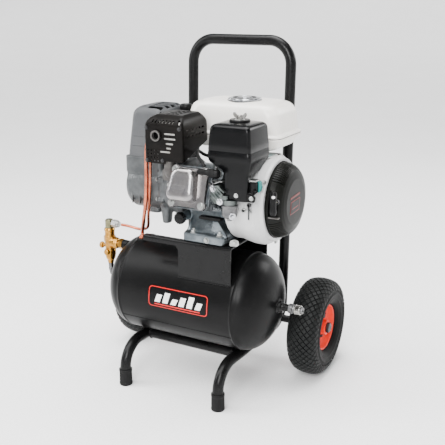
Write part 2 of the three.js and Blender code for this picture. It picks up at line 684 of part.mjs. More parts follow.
// Pilot valve on the left dome, with its side knob and relief spout
const VALVE_X = -258;
const VALVE_Y = -20;
const NECK_Z = 338;
part("pilot_pipe", routed([
  [-82, -52.8, 612], [-82, -64, 610], [-82, -71, 596], [-84, -73, 545], [-88, -71, 508], [-96, -63, 474],
  [-109, -50, 440], [-123, -32, 410], [-142, -14, 392], [-168, -8, 384], [-198, -16, 390],
  [-218.6, VALVE_Y, 392],
], 4.8, 24), copper);
const valve = new THREE.Group();
valve.position.set(VALVE_X, VALVE_Y, 0);
compressor.add(valve);
part("pilot_valve_body", cut(
  joined(
    turned("z", [
      [0, 280], [8, 280], [9, 288], [12, 292], [13.5, 298], [15, 306], [15, 372], [13, 378.7], [0, 378.7],
    ], 14),
    rod("x", 9, 0, 40, 12).translate(0, 0, NECK_Z),
    rod("x", 13, 38, 68, 12).translate(0, 0, NECK_Z),
  ),
  turned("x", tankOutside, TANK_FACETS).translate(-VALVE_X - GAP, -VALVE_Y, TANK_Z),
), brass, valve);
part("pilot_elbow", joined(
  rod("z", 12.5, 379, 402, 6),
  rod("x", 9.5, 0, 38, 6).translate(0, 0, 392),
), zinc, valve);
part("relief_spout", turned("z", [[0, 246], [4, 246], [7, 262], [7, 279.7], [0, 279.7]], 10), zinc, valve);
part("unloader_knob", joined(
  rod("x", 4, -24, -15.6, 10), rod("x", 9, -31, -22, 12),
), brass, valve).position.z = 326;

// Origin: centre of the footprint, on the floor
const bounds = new THREE.Box3().setFromObject(compressor, true);
compressor.position.x = -(bounds.min.x + bounds.max.x) / 2;
compressor.position.y = -(bounds.min.y + bounds.max.y) / 2;

export default compressor;
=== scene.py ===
"""Looks of the wheelbarrow air compressor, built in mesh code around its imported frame.

Shapes are drawn in millimetres in the machine frame: X along the crank axis, Y = 0 over the tank's
axis with +Y to the rear, Z up from the floor. piece() brings each one to metres in the shared frame.
"""
import math

import bmesh
import bpy
from mathutils import Matrix, Vector


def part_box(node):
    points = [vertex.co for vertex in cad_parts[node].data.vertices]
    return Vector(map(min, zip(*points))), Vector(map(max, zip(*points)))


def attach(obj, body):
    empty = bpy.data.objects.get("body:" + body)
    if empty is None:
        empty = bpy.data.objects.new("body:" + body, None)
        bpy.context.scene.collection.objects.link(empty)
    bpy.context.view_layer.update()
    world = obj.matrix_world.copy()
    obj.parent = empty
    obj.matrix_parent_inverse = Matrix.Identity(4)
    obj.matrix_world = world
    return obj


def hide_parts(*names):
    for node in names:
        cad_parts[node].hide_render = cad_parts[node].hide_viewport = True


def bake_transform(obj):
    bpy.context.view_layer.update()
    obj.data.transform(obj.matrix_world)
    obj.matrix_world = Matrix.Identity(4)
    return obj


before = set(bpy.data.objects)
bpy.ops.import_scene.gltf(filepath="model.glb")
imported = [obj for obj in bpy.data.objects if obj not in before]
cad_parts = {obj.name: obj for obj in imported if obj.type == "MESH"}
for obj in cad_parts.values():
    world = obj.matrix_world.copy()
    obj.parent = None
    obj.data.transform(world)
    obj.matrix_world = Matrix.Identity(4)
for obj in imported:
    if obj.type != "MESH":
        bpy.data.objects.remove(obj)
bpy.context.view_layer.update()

# ---------------------------------------------------------------- frame of reference
tank_low, tank_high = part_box("tank_shell")
AXIS_Y = (tank_low.y + tank_high.y) / 2
TO_METRES = Matrix.Translation((0, AXIS_Y, 0)) @ Matrix.Scale(0.001, 4)
TO_MACHINE = TO_METRES.inverted()


def span(node):
    """Lowest and highest corner of a CAD node, in machine millimetres."""
    low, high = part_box(node)
    return TO_MACHINE @ low, TO_MACHINE @ high


def centre_of(node):
    """The centre of a CAD node's box, in machine millimetres."""
    low, high = span(node)
    return [(a + b) / 2 for a, b in zip(low, high)]


# ---------------------------------------------------------------- camera and light
CAMERA_AT = (0.9089, -1.6132, 0.9563)
CAMERA_TURN = math.radians(28.16)
CAMERA_DROP = math.radians(16.49)
CAMERA_LENS = 59.85

camera = bpy.data.objects.new("camera", bpy.data.cameras.new("camera"))
bpy.context.scene.collection.objects.link(camera)
camera.location = CAMERA_AT
camera.rotation_euler = (math.pi / 2 - CAMERA_DROP, 0, CAMERA_TURN)
camera.data.sensor_width = 36
camera.data.lens = CAMERA_LENS
bpy.context.scene.camera = camera

LIGHT_TARGET = Vector((0, 0, 0.42))


def softbox(name, at, size, power):
    data = bpy.data.lights.new(name, "AREA")
    data.shape = "RECTANGLE"
    data.size, data.size_y = size
    data.energy = power
    lamp = bpy.data.objects.new(name, data)
    lamp.location = at
    lamp.rotation_euler = (LIGHT_TARGET - Vector(at)).to_track_quat("-Z", "Y").to_euler()
    bpy.context.scene.collection.objects.link(lamp)


softbox("key_light", (0.7, -2.7, 1.9), (1.3, 1.7), 150)
softbox("side_light", (-2.4, -1.3, 1.7), (0.8, 1.6), 70)
softbox("top_light", (0.1, 0.3, 2.8), (1.6, 1.3), 70)
softbox("back_light", (1.6, 2.2, 1.8), (1.2, 1.2), 40)

sun = bpy.data.objects.new("even_light", bpy.data.lights.new("even_light", "SUN"))
sun.data.energy = 5.2
sun.data.angle = math.radians(50)
sun.rotation_euler = Vector((0.3, 0.4, -1.4)).to_track_quat("-Z", "Y").to_euler()
bpy.context.scene.collection.objects.link(sun)

world = bpy.data.worlds.new("studio")
world.use_nodes = True
world.node_tree.nodes["Background"].inputs["Color"].default_value = (1, 1, 1, 1)
world.node_tree.nodes["Background"].inputs["Strength"].default_value = 0.3
bpy.context.scene.world = world


# ---------------------------------------------------------------- materials
LOOKS = {}
COAT_ROUGHNESS = 0.12
WORN_EDGE = 1.2


class Look:
    """A Principled material, its record slot, and short ways to add procedural nodes to it."""

    def __init__(self, name, slot, **sockets):
        LOOKS[name] = self
        self.slot = slot
        self.material = bpy.data.materials.new(name)
        self.material.use_nodes = True
        self.tree = self.material.node_tree
        self.shader = self.tree.nodes["Principled BSDF"]
        self.place = self.node("ShaderNodeTexCoord").outputs["Object"]
        self.normal = None
        for socket, value in sockets.items():
            self.set(socket, value)

    def node(self, kind, **settings):
        made = self.tree.nodes.new(kind)
        for name, value in settings.items():
            setattr(made, name, value)
        return made

    def join(self, source, target):
        self.tree.links.new(source, target)

    def set(self, socket, value):
        target = self.shader.inputs[socket.replace("_", " ")]
        if isinstance(value, bpy.types.NodeSocket):
            self.join(value, target)
        else:
            target.default_value = (*value, 1) if isinstance(value, tuple) else value

    def noise(self, scale, detail=3.0, rough=0.5, stretch=(1, 1, 1)):
        mapping = self.node("ShaderNodeMapping")
        mapping.inputs["Scale"].default_value = stretch
        self.join(self.place, mapping.inputs["Vector"])
        noise = self.node("ShaderNodeTexNoise")
        noise.inputs["Scale"].default_value = scale
        noise.inputs["Detail"].default_value = detail
        noise.inputs["Roughness"].default_value = rough
        self.join(mapping.outputs["Vector"], noise.inputs["Vector"])
        return noise.outputs["Fac"]

    def spread(self, value, low, high, to_low=0.0, to_high=1.0):
        """value from low..high to to_low..to_high, held at the ends."""
        mapped = self.node("ShaderNodeMapRange")
        for socket, number in (("From Min", low), ("From Max", high), ("To Min", to_low),
                               ("To Max", to_high)):
            mapped.inputs[socket].default_value = number
        self.join(value, mapped.inputs["Value"])
        return mapped.outputs["Result"]

    def maths(self, operation, first, second):
        made = self.node("ShaderNodeMath", operation=operation)
        for socket, value in zip(made.inputs, (first, second)):
            if isinstance(value, bpy.types.NodeSocket):
                self.join(value, socket)
            else:
                socket.default_value = value
        return made.outputs["Value"]

    def mix(self, amount, first, second):
        made = self.node("ShaderNodeMix", data_type="RGBA")
        for index, value in ((0, amount), (6, first), (7, second)):
            if isinstance(value, bpy.types.NodeSocket):
                self.join(value, made.inputs[index])
            else:
                made.inputs[index].default_value = (*value, 1) if index else value
        return made.outputs[2]

    def bump(self, height, depth_mm):
        made = self.node("ShaderNodeBump")
        made.inputs["Distance"].default_value = depth_mm / 1000
        self.join(height, made.inputs["Height"])
        if self.normal is not None:
            self.join(self.normal, made.inputs["Normal"])
        self.normal = made.outputs["Normal"]
        self.join(self.normal, self.shader.inputs["Normal"])

    def edges(self, radius_mm):
        """Near 1 along worn outside edges, 0 on open faces."""
        bevel = self.node("ShaderNodeBevel", samples=3)
        bevel.inputs["Radius"].default_value = radius_mm / 1000
        true = self.node("ShaderNodeNewGeometry").outputs["Normal"]
        facing = self.node("ShaderNodeVectorMath", operation="DOT_PRODUCT")
        self.join(bevel.outputs["Normal"], facing.inputs[0])
        self.join(true, facing.inputs[1])
        patchy = self.spread(self.noise(90, 5, 0.7), 0.42, 0.62)
        return self.maths("MULTIPLY", self.spread(facing.outputs["Value"], 0.97, 0.8), patchy)


def surface(name, slot, color, second, rough, metal=0.0, patch=18, grain=700, depth=0.04, coat=0.0,
            ior=1.5, worn=None):
    """A finish: two colours in soft patches, fine grain in roughness and bump, and worn edges."""
    look = Look(name, slot, Metallic=metal, Coat_Weight=coat, Coat_Roughness=COAT_ROUGHNESS, IOR=ior)
    cloud = look.noise(patch, 4, 0.6)
    fine = look.noise(grain, 3, 0.6)
    tone = look.mix(look.spread(cloud, 0.35, 0.65), color, second)
    tone = look.mix(look.spread(fine, 0.3, 0.8, 0, 0.35), tone, tuple(0.6 * channel for channel in color))
    roughness = look.spread(look.maths("ADD", cloud, fine), 0.7, 1.3, rough[0], rough[1])
    if worn:
        tone = look.mix(look.edges(WORN_EDGE), tone, worn)
    look.set("Base_Color", tone)
    look.set("Roughness", roughness)
    look.bump(fine, depth)


def brushed(name, slot, color, rough, stretch, depth=0.02):
    """Bare metal with fine drawn or turned lines."""
    look = Look(name, slot, Metallic=1.0)
    lines = look.noise(900, 4, 0.7, stretch)
    cloud = look.noise(35, 3, 0.5)
    dark = tuple(0.72 * channel for channel in color)
    look.set("Base_Color", look.mix(look.spread(look.maths("ADD", lines, cloud), 0.7, 1.3), dark, color))
    look.set("Roughness", look.spread(cloud, 0.3, 0.7, rough[0], rough[1]))
    look.bump(lines, depth)


surface("frame_black", "frame_paint", (0.0030, 0.0030, 0.0031), (0.0044, 0.0044, 0.0046), (0.24, 0.36),
        grain=420, ior=1.24, worn=(0.012, 0.012, 0.012))
surface("tank_black", "tank_paint", (0.0024, 0.0024, 0.0025), (0.0036, 0.0036, 0.0037), (0.28, 0.40),
        patch=9, grain=520, depth=0.05, ior=1.19)
surface("foot_rubber", "foot_rubber", (0.005, 0.005, 0.0052), (0.008, 0.008, 0.008), (0.6, 0.8),
        depth=0.08, ior=1.25)
surface("lead_rubber", "foot_rubber", (0.003, 0.003, 0.0032), (0.005, 0.005, 0.005), (0.38, 0.55),
        depth=0.03, ior=1.22)
surface("tyre_rubber", "tyre", (0.0035, 0.0040, 0.0039), (0.006, 0.0066, 0.0064), (0.45, 0.65), patch=40,
        grain=900, depth=0.12, ior=1.26)
surface("carcass_rubber", "tyre", (0.002, 0.002, 0.002), (0.0035, 0.0035, 0.0035), (0.5, 0.7), patch=40,
        grain=900, depth=0.08, ior=1.2)
surface("rim_red", "rim_red", (0.84, 0.026, 0.006), (0.74, 0.020, 0.005), (0.35, 0.5), grain=500, ior=1.3,
        worn=(0.3, 0.02, 0.012))
surface("zinc", "zinc", (0.50, 0.51, 0.50), (0.30, 0.31, 0.30), (0.24, 0.42), metal=1.0, patch=60,
        grain=1100)
surface("bowl_zinc", "zinc", (0.18, 0.18, 0.18), (0.09, 0.09, 0.094), (0.28, 0.42), metal=1.0, patch=50,
        grain=1100)
surface("carburettor_zinc", "zinc", (0.14, 0.155, 0.15), (0.06, 0.07, 0.068), (0.28, 0.45), metal=1.0,
        patch=70, grain=1100, worn=(0.22, 0.22, 0.21))
surface("elbow_olive", "zinc", (0.22, 0.21, 0.12), (0.12, 0.11, 0.06), (0.3, 0.45), metal=1.0, patch=70,
        grain=900)
# Dark steel for bolts, nuts and levers; also painted shade, in the ring round the filler cap's foot and
# the groove on the cap's top.
surface("dark_steel_and_shade", "zinc", (0.06, 0.06, 0.062), (0.035, 0.035, 0.036), (0.35, 0.55), metal=0.9,
        patch=70)
surface("axle_steel", "steel", (0.02, 0.02, 0.021), (0.012, 0.012, 0.012), (0.4, 0.55), metal=0.6,
        patch=70)
surface("chrome", "chrome", (0.66, 0.67, 0.69), (0.50, 0.51, 0.54), (0.06, 0.14), metal=1.0, grain=300,
        depth=0.01)
surface("cap_chrome", "chrome", (0.52, 0.53, 0.55), (0.30, 0.31, 0.33), (0.05, 0.14), metal=1.0, patch=45,
        grain=300, depth=0.01)
surface("dark_chrome", "chrome", (0.36, 0.355, 0.34), (0.22, 0.21, 0.19), (0.1, 0.2), metal=1.0, patch=70,
        grain=500, depth=0.02)
surface("brass", "brass", (0.50, 0.25, 0.045), (0.26, 0.12, 0.02), (0.2, 0.36), metal=1.0, patch=80,
        grain=900)
surface("copper", "copper", (0.56, 0.17, 0.095), (0.34, 0.09, 0.05), (0.2, 0.36), metal=1.0, patch=45,
        grain=800)
surface("cast_aluminium", "aluminium", (0.24, 0.258, 0.27), (0.085, 0.097, 0.105), (0.24, 0.40),
        metal=0.95, patch=35, grain=1300, depth=0.16, worn=(0.6, 0.62, 0.64))
surface("block_aluminium", "aluminium", (0.17, 0.192, 0.205), (0.055, 0.067, 0.075), (0.24, 0.40),
        metal=0.95, patch=30, grain=1300, depth=0.16, worn=(0.42, 0.45, 0.47))
surface("cover_aluminium", "aluminium", (0.34, 0.32, 0.31), (0.15, 0.15, 0.162), (0.2, 0.32), metal=0.97,
        patch=22, grain=1200, depth=0.08, worn=(0.7, 0.7, 0.7))
surface("pump_grey", "pump_casting", (0.060, 0.062, 0.065), (0.044, 0.046, 0.049), (0.42, 0.55),
        grain=1100, depth=0.10, ior=1.4, worn=(0.12, 0.125, 0.13))
surface("pump_cast", "pump_casting", (0.085, 0.09, 0.092), (0.038, 0.041, 0.043), (0.36, 0.52), metal=0.5,
        patch=30, grain=1200, depth=0.16, worn=(0.25, 0.26, 0.26))
surface("white_paint", "white_paint", (0.86, 0.83, 0.78), (0.82, 0.79, 0.74), (0.22, 0.34), coat=0.2,
        grain=380, patch=8, depth=0.02)
surface("cover_white", "white_paint", (0.52, 0.52, 0.515), (0.44, 0.44, 0.445), (0.3, 0.42), coat=0.1,
        grain=600, patch=12)
surface("panel_blue", "white_paint", (0.20, 0.27, 0.27), (0.16, 0.22, 0.22), (0.3, 0.45), grain=600)
surface("gloss_black", "gloss_black", (0.0014, 0.0015, 0.0017), (0.0020, 0.0021, 0.0024), (0.16, 0.26),
        grain=350, patch=12, depth=0.015, ior=1.24)
surface("satin_black", "gloss_black", (0.0022, 0.0022, 0.0023), (0.0036, 0.0036, 0.0038), (0.3, 0.45),
        grain=1400, depth=0.06, ior=1.22)
surface("recoil_black", "gloss_black", (0.0028, 0.0030, 0.0024), (0.0042, 0.0045, 0.0036), (0.32, 0.44),
        grain=1400, depth=0.05, ior=1.19, worn=(0.014, 0.014, 0.012))
surface("heat_black", "muffler_black", (0.0020, 0.0017, 0.0015), (0.0040, 0.0031, 0.0026), (0.3, 0.46),
        patch=30, grain=900, depth=0.06, ior=1.19, worn=(0.016, 0.014, 0.012))
# Soot black for the spark screen; also painted shade, as black slabs in the fan deck slot and under the
# pump cowl's top slots.
surface("soot_and_shade_black", "gloss_black", (0.001, 0.001, 0.001), (0.0016, 0.0016, 0.0016), (0.7, 0.9), ior=1.1)
# Black for the head gasket; also painted shadow, on the fuel tank's seam strip and the line along the
# crankcase flange.
surface("gasket_and_shadow_black", "gasket", (0.002, 0.002, 0.002), (0.004, 0.004, 0.004), (0.6, 0.8), ior=1.15)
# Grey steel of the muffler can and tail; also a painted highlight on the recoil pocket's shelf.
surface("exhaust_and_highlight_grey", "muffler_black", (0.10, 0.095, 0.09), (0.055, 0.05, 0.048), (0.4, 0.6), metal=0.7,
        patch=60)
# Light grey liner behind the muffler guard's slots: aluminised steel, made light so the slots show painted
# highlights.
surface("liner_highlight_grey", "muffler_black", (0.40, 0.39, 0.37), (0.28, 0.27, 0.25), (0.4, 0.6), metal=0.3,
        patch=60)
surface("foam_grey", "filter_foam", (0.05, 0.05, 0.052), (0.03, 0.03, 0.03), (0.85, 0.95), grain=500,
        depth=0.9)
surface("teal_plastic", "gloss_black", (0.02, 0.20, 0.19), (0.015, 0.16, 0.15), (0.3, 0.45))
surface("rope_cream", "filter_foam", (0.60, 0.57, 0.50), (0.45, 0.42, 0.36), (0.7, 0.85), grain=2500,
        depth=0.3)
surface("print_black", "tank_paint", (0.0015, 0.0015, 0.0018), (0.0022, 0.0022, 0.0025), (0.25, 0.35),
        depth=0.01, ior=1.2)
surface("print_red", "tank_paint", (0.55, 0.012, 0.010), (0.46, 0.010, 0.009), (0.25, 0.35), depth=0.01,
        ior=1.3)
surface("badge_red", "switch_red", (0.16, 0.012, 0.010), (0.11, 0.010, 0.009), (0.3, 0.45), depth=0.01,
        ior=1.3)
# White print for the label bars; also a painted glint, the white plate on the starter grip.
surface("print_and_glint_white", "tank_paint", (0.86, 0.86, 0.86), (0.78, 0.78, 0.78), (0.25, 0.35), depth=0.01)
brushed("turned_steel", "steel", (0.5, 0.5, 0.51), (0.22, 0.34), (0.04, 1, 1))
surface("floor_grey", "", (0.93, 0.93, 0.93), (0.91, 0.91, 0.91), (0.7, 0.8), patch=2, grain=200, ior=1.15)


# ---------------------------------------------------------------- shapes
class Shape:
    """Corners and faces in millimetres. Adding two shapes keeps both, side by side."""

    def __init__(self, corners=(), faces=()):
        self.corners = [Vector(corner) for corner in corners]
        self.faces = [tuple(face) for face in faces]

    def __add__(self, other):
        first = len(self.corners)
        return Shape(self.corners + other.corners, self.faces
                     + [tuple(first + i for i in face) for face in other.faces])

    def moved(self, matrix):
        return Shape([matrix @ corner for corner in self.corners], self.faces)

    def shifted(self, x=0.0, y=0.0, z=0.0):
        return self.moved(Matrix.Translation((x, y, z)))


def together(shapes):
    return sum(shapes, Shape())


def along(axis, first, second, distance):
    """A point in the frame whose third direction is the named axis."""
    return {"x": (distance, first, second), "y": (first, distance, second),
            "z": (first, second, distance)}[axis]


def box(x0, x1, y0, y1, z0, z1):
    corners = [(x, y, z) for x in (x0, x1) for y in (y0, y1) for z in (z0, z1)]
    return Shape(corners, [(0, 1, 3, 2), (4, 6, 7, 5), (0, 4, 5, 1), (2, 3, 7, 6), (0, 2, 6, 4),
                           (1, 5, 7, 3)])


def lathe(profile, axis="z", at=(0, 0, 0), steps=64, hollow=False):
    """(radius, distance) pairs turned about an axis through at; a hollow profile closes on itself."""
    shape = Shape()
    rings = []
    for radius, distance in profile:
        first = len(shape.corners)
        if radius < 1e-6:
            shape.corners.append(Vector(along(axis, 0, 0, distance)))
            rings.append([first] * steps)
            continue
        for step in range(steps):
            angle = 2 * math.pi * step / steps
            shape.corners.append(Vector(along(axis, radius * math.cos(angle), radius * math.sin(angle),
                                              distance)))
        rings.append(list(range(first, first + steps)))
    if hollow:
        rings.append(rings[0])
    for low, high in zip(rings, rings[1:]):
        for step in range(steps):
            after = (step + 1) % steps
            face = list(dict.fromkeys((low[step], low[after], high[after], high[step])))
            if len(face) > 2:
                shape.faces.append(tuple(face))
    return shape.shifted(*at)


def rod(axis, radius, start, end, at=(0, 0, 0), steps=40, chamfer=0.6):
    inner = radius - chamfer
    return lathe([(0, start), (inner, start), (radius, start + chamfer), (radius, end - chamfer),
                  (inner, end), (0, end)], axis, at, steps)


def softened(points, radius, steps=4, closed=False):
    """The same outline with its corners rounded, by at most the given radius."""
    points = [Vector(point) for point in points]
    count = len(points)
    made = []
    for i, point in enumerate(points):
        if not closed and i in (0, count - 1):
            made.append(point)
            continue
        before, after = points[i - 1] - point, points[(i + 1) % count] - point
        if min(before.length, after.length) < 1e-6 or abs(math.pi - before.angle(after)) < 0.12:
            made.append(point)
            continue
        half = before.angle(after) / 2
        reach = min(radius / math.tan(half), 0.45 * before.length, 0.45 * after.length)
        start, end = point + before.normalized() * reach, point + after.normalized() * reach
        for step in range(steps + 1):
            t = step / steps
            made.append(start * (1 - t) ** 2 + point * (2 * t * (1 - t)) + end * t ** 2)
    return made


def rounded(x0, x1, y0, y1, radius, steps=6):
    """The outline of a rounded rectangle."""
    points = []
    for x, y, start in ((x1, y0, -90), (x1, y1, 0), (x0, y1, 90), (x0, y0, 180)):
        centre = Vector((x + (-radius if x == x1 else radius), y + (-radius if y == y1 else radius)))
        for step in range(steps + 1):
            angle = math.radians(start + 90 * step / steps)
            points.append(centre + radius * Vector((math.cos(angle), math.sin(angle))))
    return points


def disc(radius, sides, turn=0.0):
    return [Vector((radius * math.cos(turn + 2 * math.pi * i / sides),
                    radius * math.sin(turn + 2 * math.pi * i / sides))) for i in range(sides)]


def prism(points, start, end, axis="z"):
    """An outline carried from start to end along an axis."""
    count = len(points)
    corners = [along(axis, p[0], p[1], d) for d in (start, end) for p in points]
    sides = [(i, (i + 1) % count, count + (i + 1) % count, count + i) for i in range(count)]
    return Shape(corners, [tuple(reversed(range(count))), tuple(range(count, 2 * count)), *sides])


def slab(x0, x1, y0, y1, radius, start, end, axis="z", steps=6):
    """A prism over a rounded rectangle."""
    return prism(rounded(x0, x1, y0, y1, radius, steps), start, end, axis)


def soft_plate(points, radius, steps, start, end, axis="z"):
    """A prism over an outline with softened corners."""
    return prism(softened(points, radius, steps, True), start, end, axis)


def soft_ring(points, radius, steps, axis, at, count):
    """A turned body that is open along its axis, from an outline with softened corners."""
    return lathe(softened(points, radius, steps, True), axis, at, count, True)


def fluted(shape, centre, axis, beyond, depth):
    """The shape, its corners beyond a radius from an axis drawn in by depth(angle, corner)."""
    across, up = (k for k in range(3) if k != axis)
    for corner in shape.corners:
        offset = Vector([0 if k == axis else corner[k] - centre[k] for k in range(3)])
        if offset.length > beyond:
            corner -= offset.normalized() * depth(math.atan2(offset[up], offset[across]), corner)
    return shape


def loft(sections, steps=6):
    """A closed body through rounded rectangles (z, x0, x1, y0, y1, radius), lowest first."""
    rings = [[(*p, z) for p in rounded(*rest, steps)] for z, *rest in sections]
    count = len(rings[0])
    corners = [corner for ring in rings for corner in ring]
    faces = [tuple(reversed(range(count))), tuple(range(len(corners) - count, len(corners)))]
    for level in range(len(rings) - 1):
        for i in range(count):
            a, b = level * count + i, level * count + (i + 1) % count
            faces.append((a, b, b + count, a + count))
    return Shape(corners, faces)


def shrunk(sections, wall, rise):
    """The inside of a lofted shell: every section pulled in by the wall and shifted in z."""
    return [(z + rise, x0 + wall, x1 - wall, y0 + wall, y1 - wall, max(r - wall, 1)) for z, x0, x1, y0, y1,
            r in sections]


def curve(points, steps):
    """A smooth route through listed points, with the given number of steps between each two."""
    points = [Vector(point) for point in points]
    ends = [2 * points[0] - points[1], *points, 2 * points[-1] - points[-2]]
    route = []
    for a, b, c, d in zip(ends, ends[1:], ends[2:], ends[3:]):
        for step in range(steps):
            t = step / steps
            route.append(0.5 * (2 * b + (c - a) * t + (2 * a - 5 * b + 4 * c - d) * t ** 2
                                + (3 * b - a - 3 * c + d) * t ** 3))
    route.append(points[-1])
    return route


def bent(corners, steps=12):
    """Straight stretches with a true arc at each corner; a corner is (x, y, z, bend radius)."""
    at = [Vector(corner[:3]) for corner in corners]
    route = [at[0]]
    for i in range(1, len(at) - 1):
        radius = corners[i][3]
        before, after = (at[i - 1] - at[i]).normalized(), (at[i + 1] - at[i]).normalized()
        half = before.angle(after) / 2
        centre = at[i] + (before + after).normalized() * (radius / math.sin(half))
        start = at[i] + before * (radius / math.tan(half)) - centre
        turn = before.cross(after).normalized()
        for step in range(steps + 1):
            route.append(centre + Matrix.Rotation(-(math.pi - 2 * half) * step / steps, 3, turn) @ start)
    route.append(at[-1])
    return route


def sweep(route, radius, sides=16):
    """A round cord or tube along a route, its ends closed; radius is a number or one for each point."""
    radii = radius if isinstance(radius, list) else [radius] * len(route)
    count = len(route)
    tangents = [(route[min(i + 1, count - 1)] - route[max(i - 1, 0)]).normalized() for i in range(count)]
    normal = tangents[0].orthogonal().normalized()
    shape = Shape()
    for i, (point, tangent) in enumerate(zip(route, tangents)):
        normal = (normal - tangent * normal.dot(tangent)).normalized()
        side = tangent.cross(normal)
        for step in range(sides):
            angle = 2 * math.pi * step / sides
            shape.corners.append(point + radii[i] * (normal * math.cos(angle) + side * math.sin(angle)))
        if i:
            low, high = (i - 1) * sides, i * sides
            shape.faces += [(low + s, low + (s + 1) % sides, high + (s + 1) % sides, high + s)
                            for s in range(sides)]
    shape.faces += [tuple(reversed(range(sides))), tuple(range((count - 1) * sides, count * sides))]
    return shape


def aimed(direction, at):
    """A matrix that carries +Z to the direction and the origin to at."""
    return Matrix.Translation(at) @ Vector(direction).to_track_quat("Z", "Y").to_matrix().to_4x4()


def hexagon_head(across, height, washer=0.0):
    """A bolt head or nut standing on z = 0, chamfered on top, with a washer under it."""
    radius = across / math.sqrt(3)
    low = 1.4 if washer else 0.0
    shape = prism(disc(radius, 6), low, height * 0.82)
    top = [(*p, height * 0.82) for p in disc(radius, 6)] + [(*p, height) for p in disc(radius * 0.84, 6)]
    sides = [(i, (i + 1) % 6, 6 + (i + 1) % 6, 6 + i) for i in range(6)]
    shape += Shape(top, [(5, 4, 3, 2, 1, 0), *sides, (6, 7, 8, 9, 10, 11)])
    if washer:
        shape += rod("z", washer, 0, low, steps=28, chamfer=0.3)
    return shape


def bolt(at, direction, across=10, height=5.5, washer=8.0, stud=0.0):
    shape = hexagon_head(across, height, washer)
    if stud:
        shape += rod("z", across * 0.3, height - 0.5, height + stud, steps=20)
    return shape.moved(aimed(direction, at))


def coil(start, end, radius, wire, turns):
    """A close-wound spring between two points, with a hook's stub at each end."""
    start, end = Vector(start), Vector(end)
    turn = aimed(end - start, start)
    length = (end - start).length
    steps = 14 * turns
    route = [turn @ Vector((0, 0, 0))]
    for i in range(steps + 1):
        angle = 2 * math.pi * turns * i / steps
        rise = length * (0.12 + 0.76 * i / steps)
        route.append(turn @ Vector((radius * math.cos(angle), radius * math.sin(angle), rise)))
    route.append(end)
    return sweep(route, wire, 8)


# ---------------------------------------------------------------- pieces
BEVEL_FROM = math.radians(32)
SMOOTH_ALL = 180


def mesh_from(name, shape):
    mesh = bpy.data.meshes.new(name)
    mesh.from_pydata([TO_METRES @ corner for corner in shape.corners], [], shape.faces)
    work = bmesh.new()
    work.from_mesh(mesh)
    bmesh.ops.remove_doubles(work, verts=work.verts, dist=1e-7)
    bmesh.ops.recalc_face_normals(work, faces=work.faces)
    work.to_mesh(mesh)
    work.free()
    return mesh


def settle(thing):
    """Turns the modifiers so far into plain mesh."""
    bpy.context.view_layer.update()
    solved = bpy.data.meshes.new_from_object(thing.evaluated_get(bpy.context.evaluated_depsgraph_get()))
    thing.modifiers.clear()
    old, thing.data = thing.data, solved
    bpy.data.meshes.remove(old)


def boolean(thing, shape, operation):
    tool = bpy.data.objects.new("tool", mesh_from("tool", shape))
    bpy.context.scene.collection.objects.link(tool)
    step = thing.modifiers.new("step", "BOOLEAN")
    step.operation = operation
    step.solver = "EXACT"
    step.use_self = True
    step.object = tool
    settle(thing)
    bpy.data.objects.remove(tool)


def piece(name, shape, finish, body="compressor", stands_for=(), add=(), cuts=(), melt=0.0, bevel=0.0,
          segments=2, sharp=38, slot=None):
    """One named part of the machine: a mesh in the shared frame that rides on a CAD body."""
    look = LOOKS[finish]
    slot = slot or look.slot
    thing = bpy.data.objects.new(name, mesh_from(name, shape))
    bpy.context.scene.collection.objects.link(thing)
    for extra in add:
        boolean(thing, extra, "UNION")
    for tool in cuts:
        boolean(thing, tool, "DIFFERENCE")
    if melt:
        voxels = thing.modifiers.new("melt", "REMESH")
        voxels.mode = "VOXEL"
        voxels.voxel_size = melt / 1000
        relax = thing.modifiers.new("relax", "SMOOTH")
        relax.factor, relax.iterations = 0.5, 6
        settle(thing)
        sharp = SMOOTH_ALL
    if bevel:
        edge = thing.modifiers.new("edge", "BEVEL")
        edge.width = bevel / 1000
        edge.segments = segments
        edge.limit_method = "ANGLE"
        edge.angle_limit = BEVEL_FROM
        edge.use_clamp_overlap = True
        settle(thing)
    thing.data.shade_smooth()
    thing.data.set_sharp_from_angle(angle=math.radians(sharp))
    thing.data.materials.clear()
    thing.data.materials.append(look.material)
    thing.data.name = name
    if bevel:
        flat = thing.modifiers.new("flat", "WEIGHTED_NORMAL")
        flat.keep_sharp = True
    if body:
        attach(thing, body)
    if stands_for:
        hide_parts(*([stands_for] if isinstance(stands_for, str) else stands_for))
    return thing


# ---------------------------------------------------------------- frame, axle and feet
TUBE = 14
FOOT_X, FOOT_Y = 137, -138
POST_X, POST_Y = 145.5, 225
RUN_Z = 102


def weld_bead(route, radius=1.6):
    """A rippled bead of weld along a route."""
    radii = [radius * (1 + 0.22 * math.sin(2.2 * i)) for i in range(len(route))]
    return sweep(route, radii, 10)


def circle_route(centre, axis, radius, steps=60):
    angles = [math.radians(360 * i / steps) for i in range(steps + 1)]
    return [Vector(along(axis, radius * math.cos(a), radius * math.sin(a), 0)) + Vector(centre)
            for a in angles]


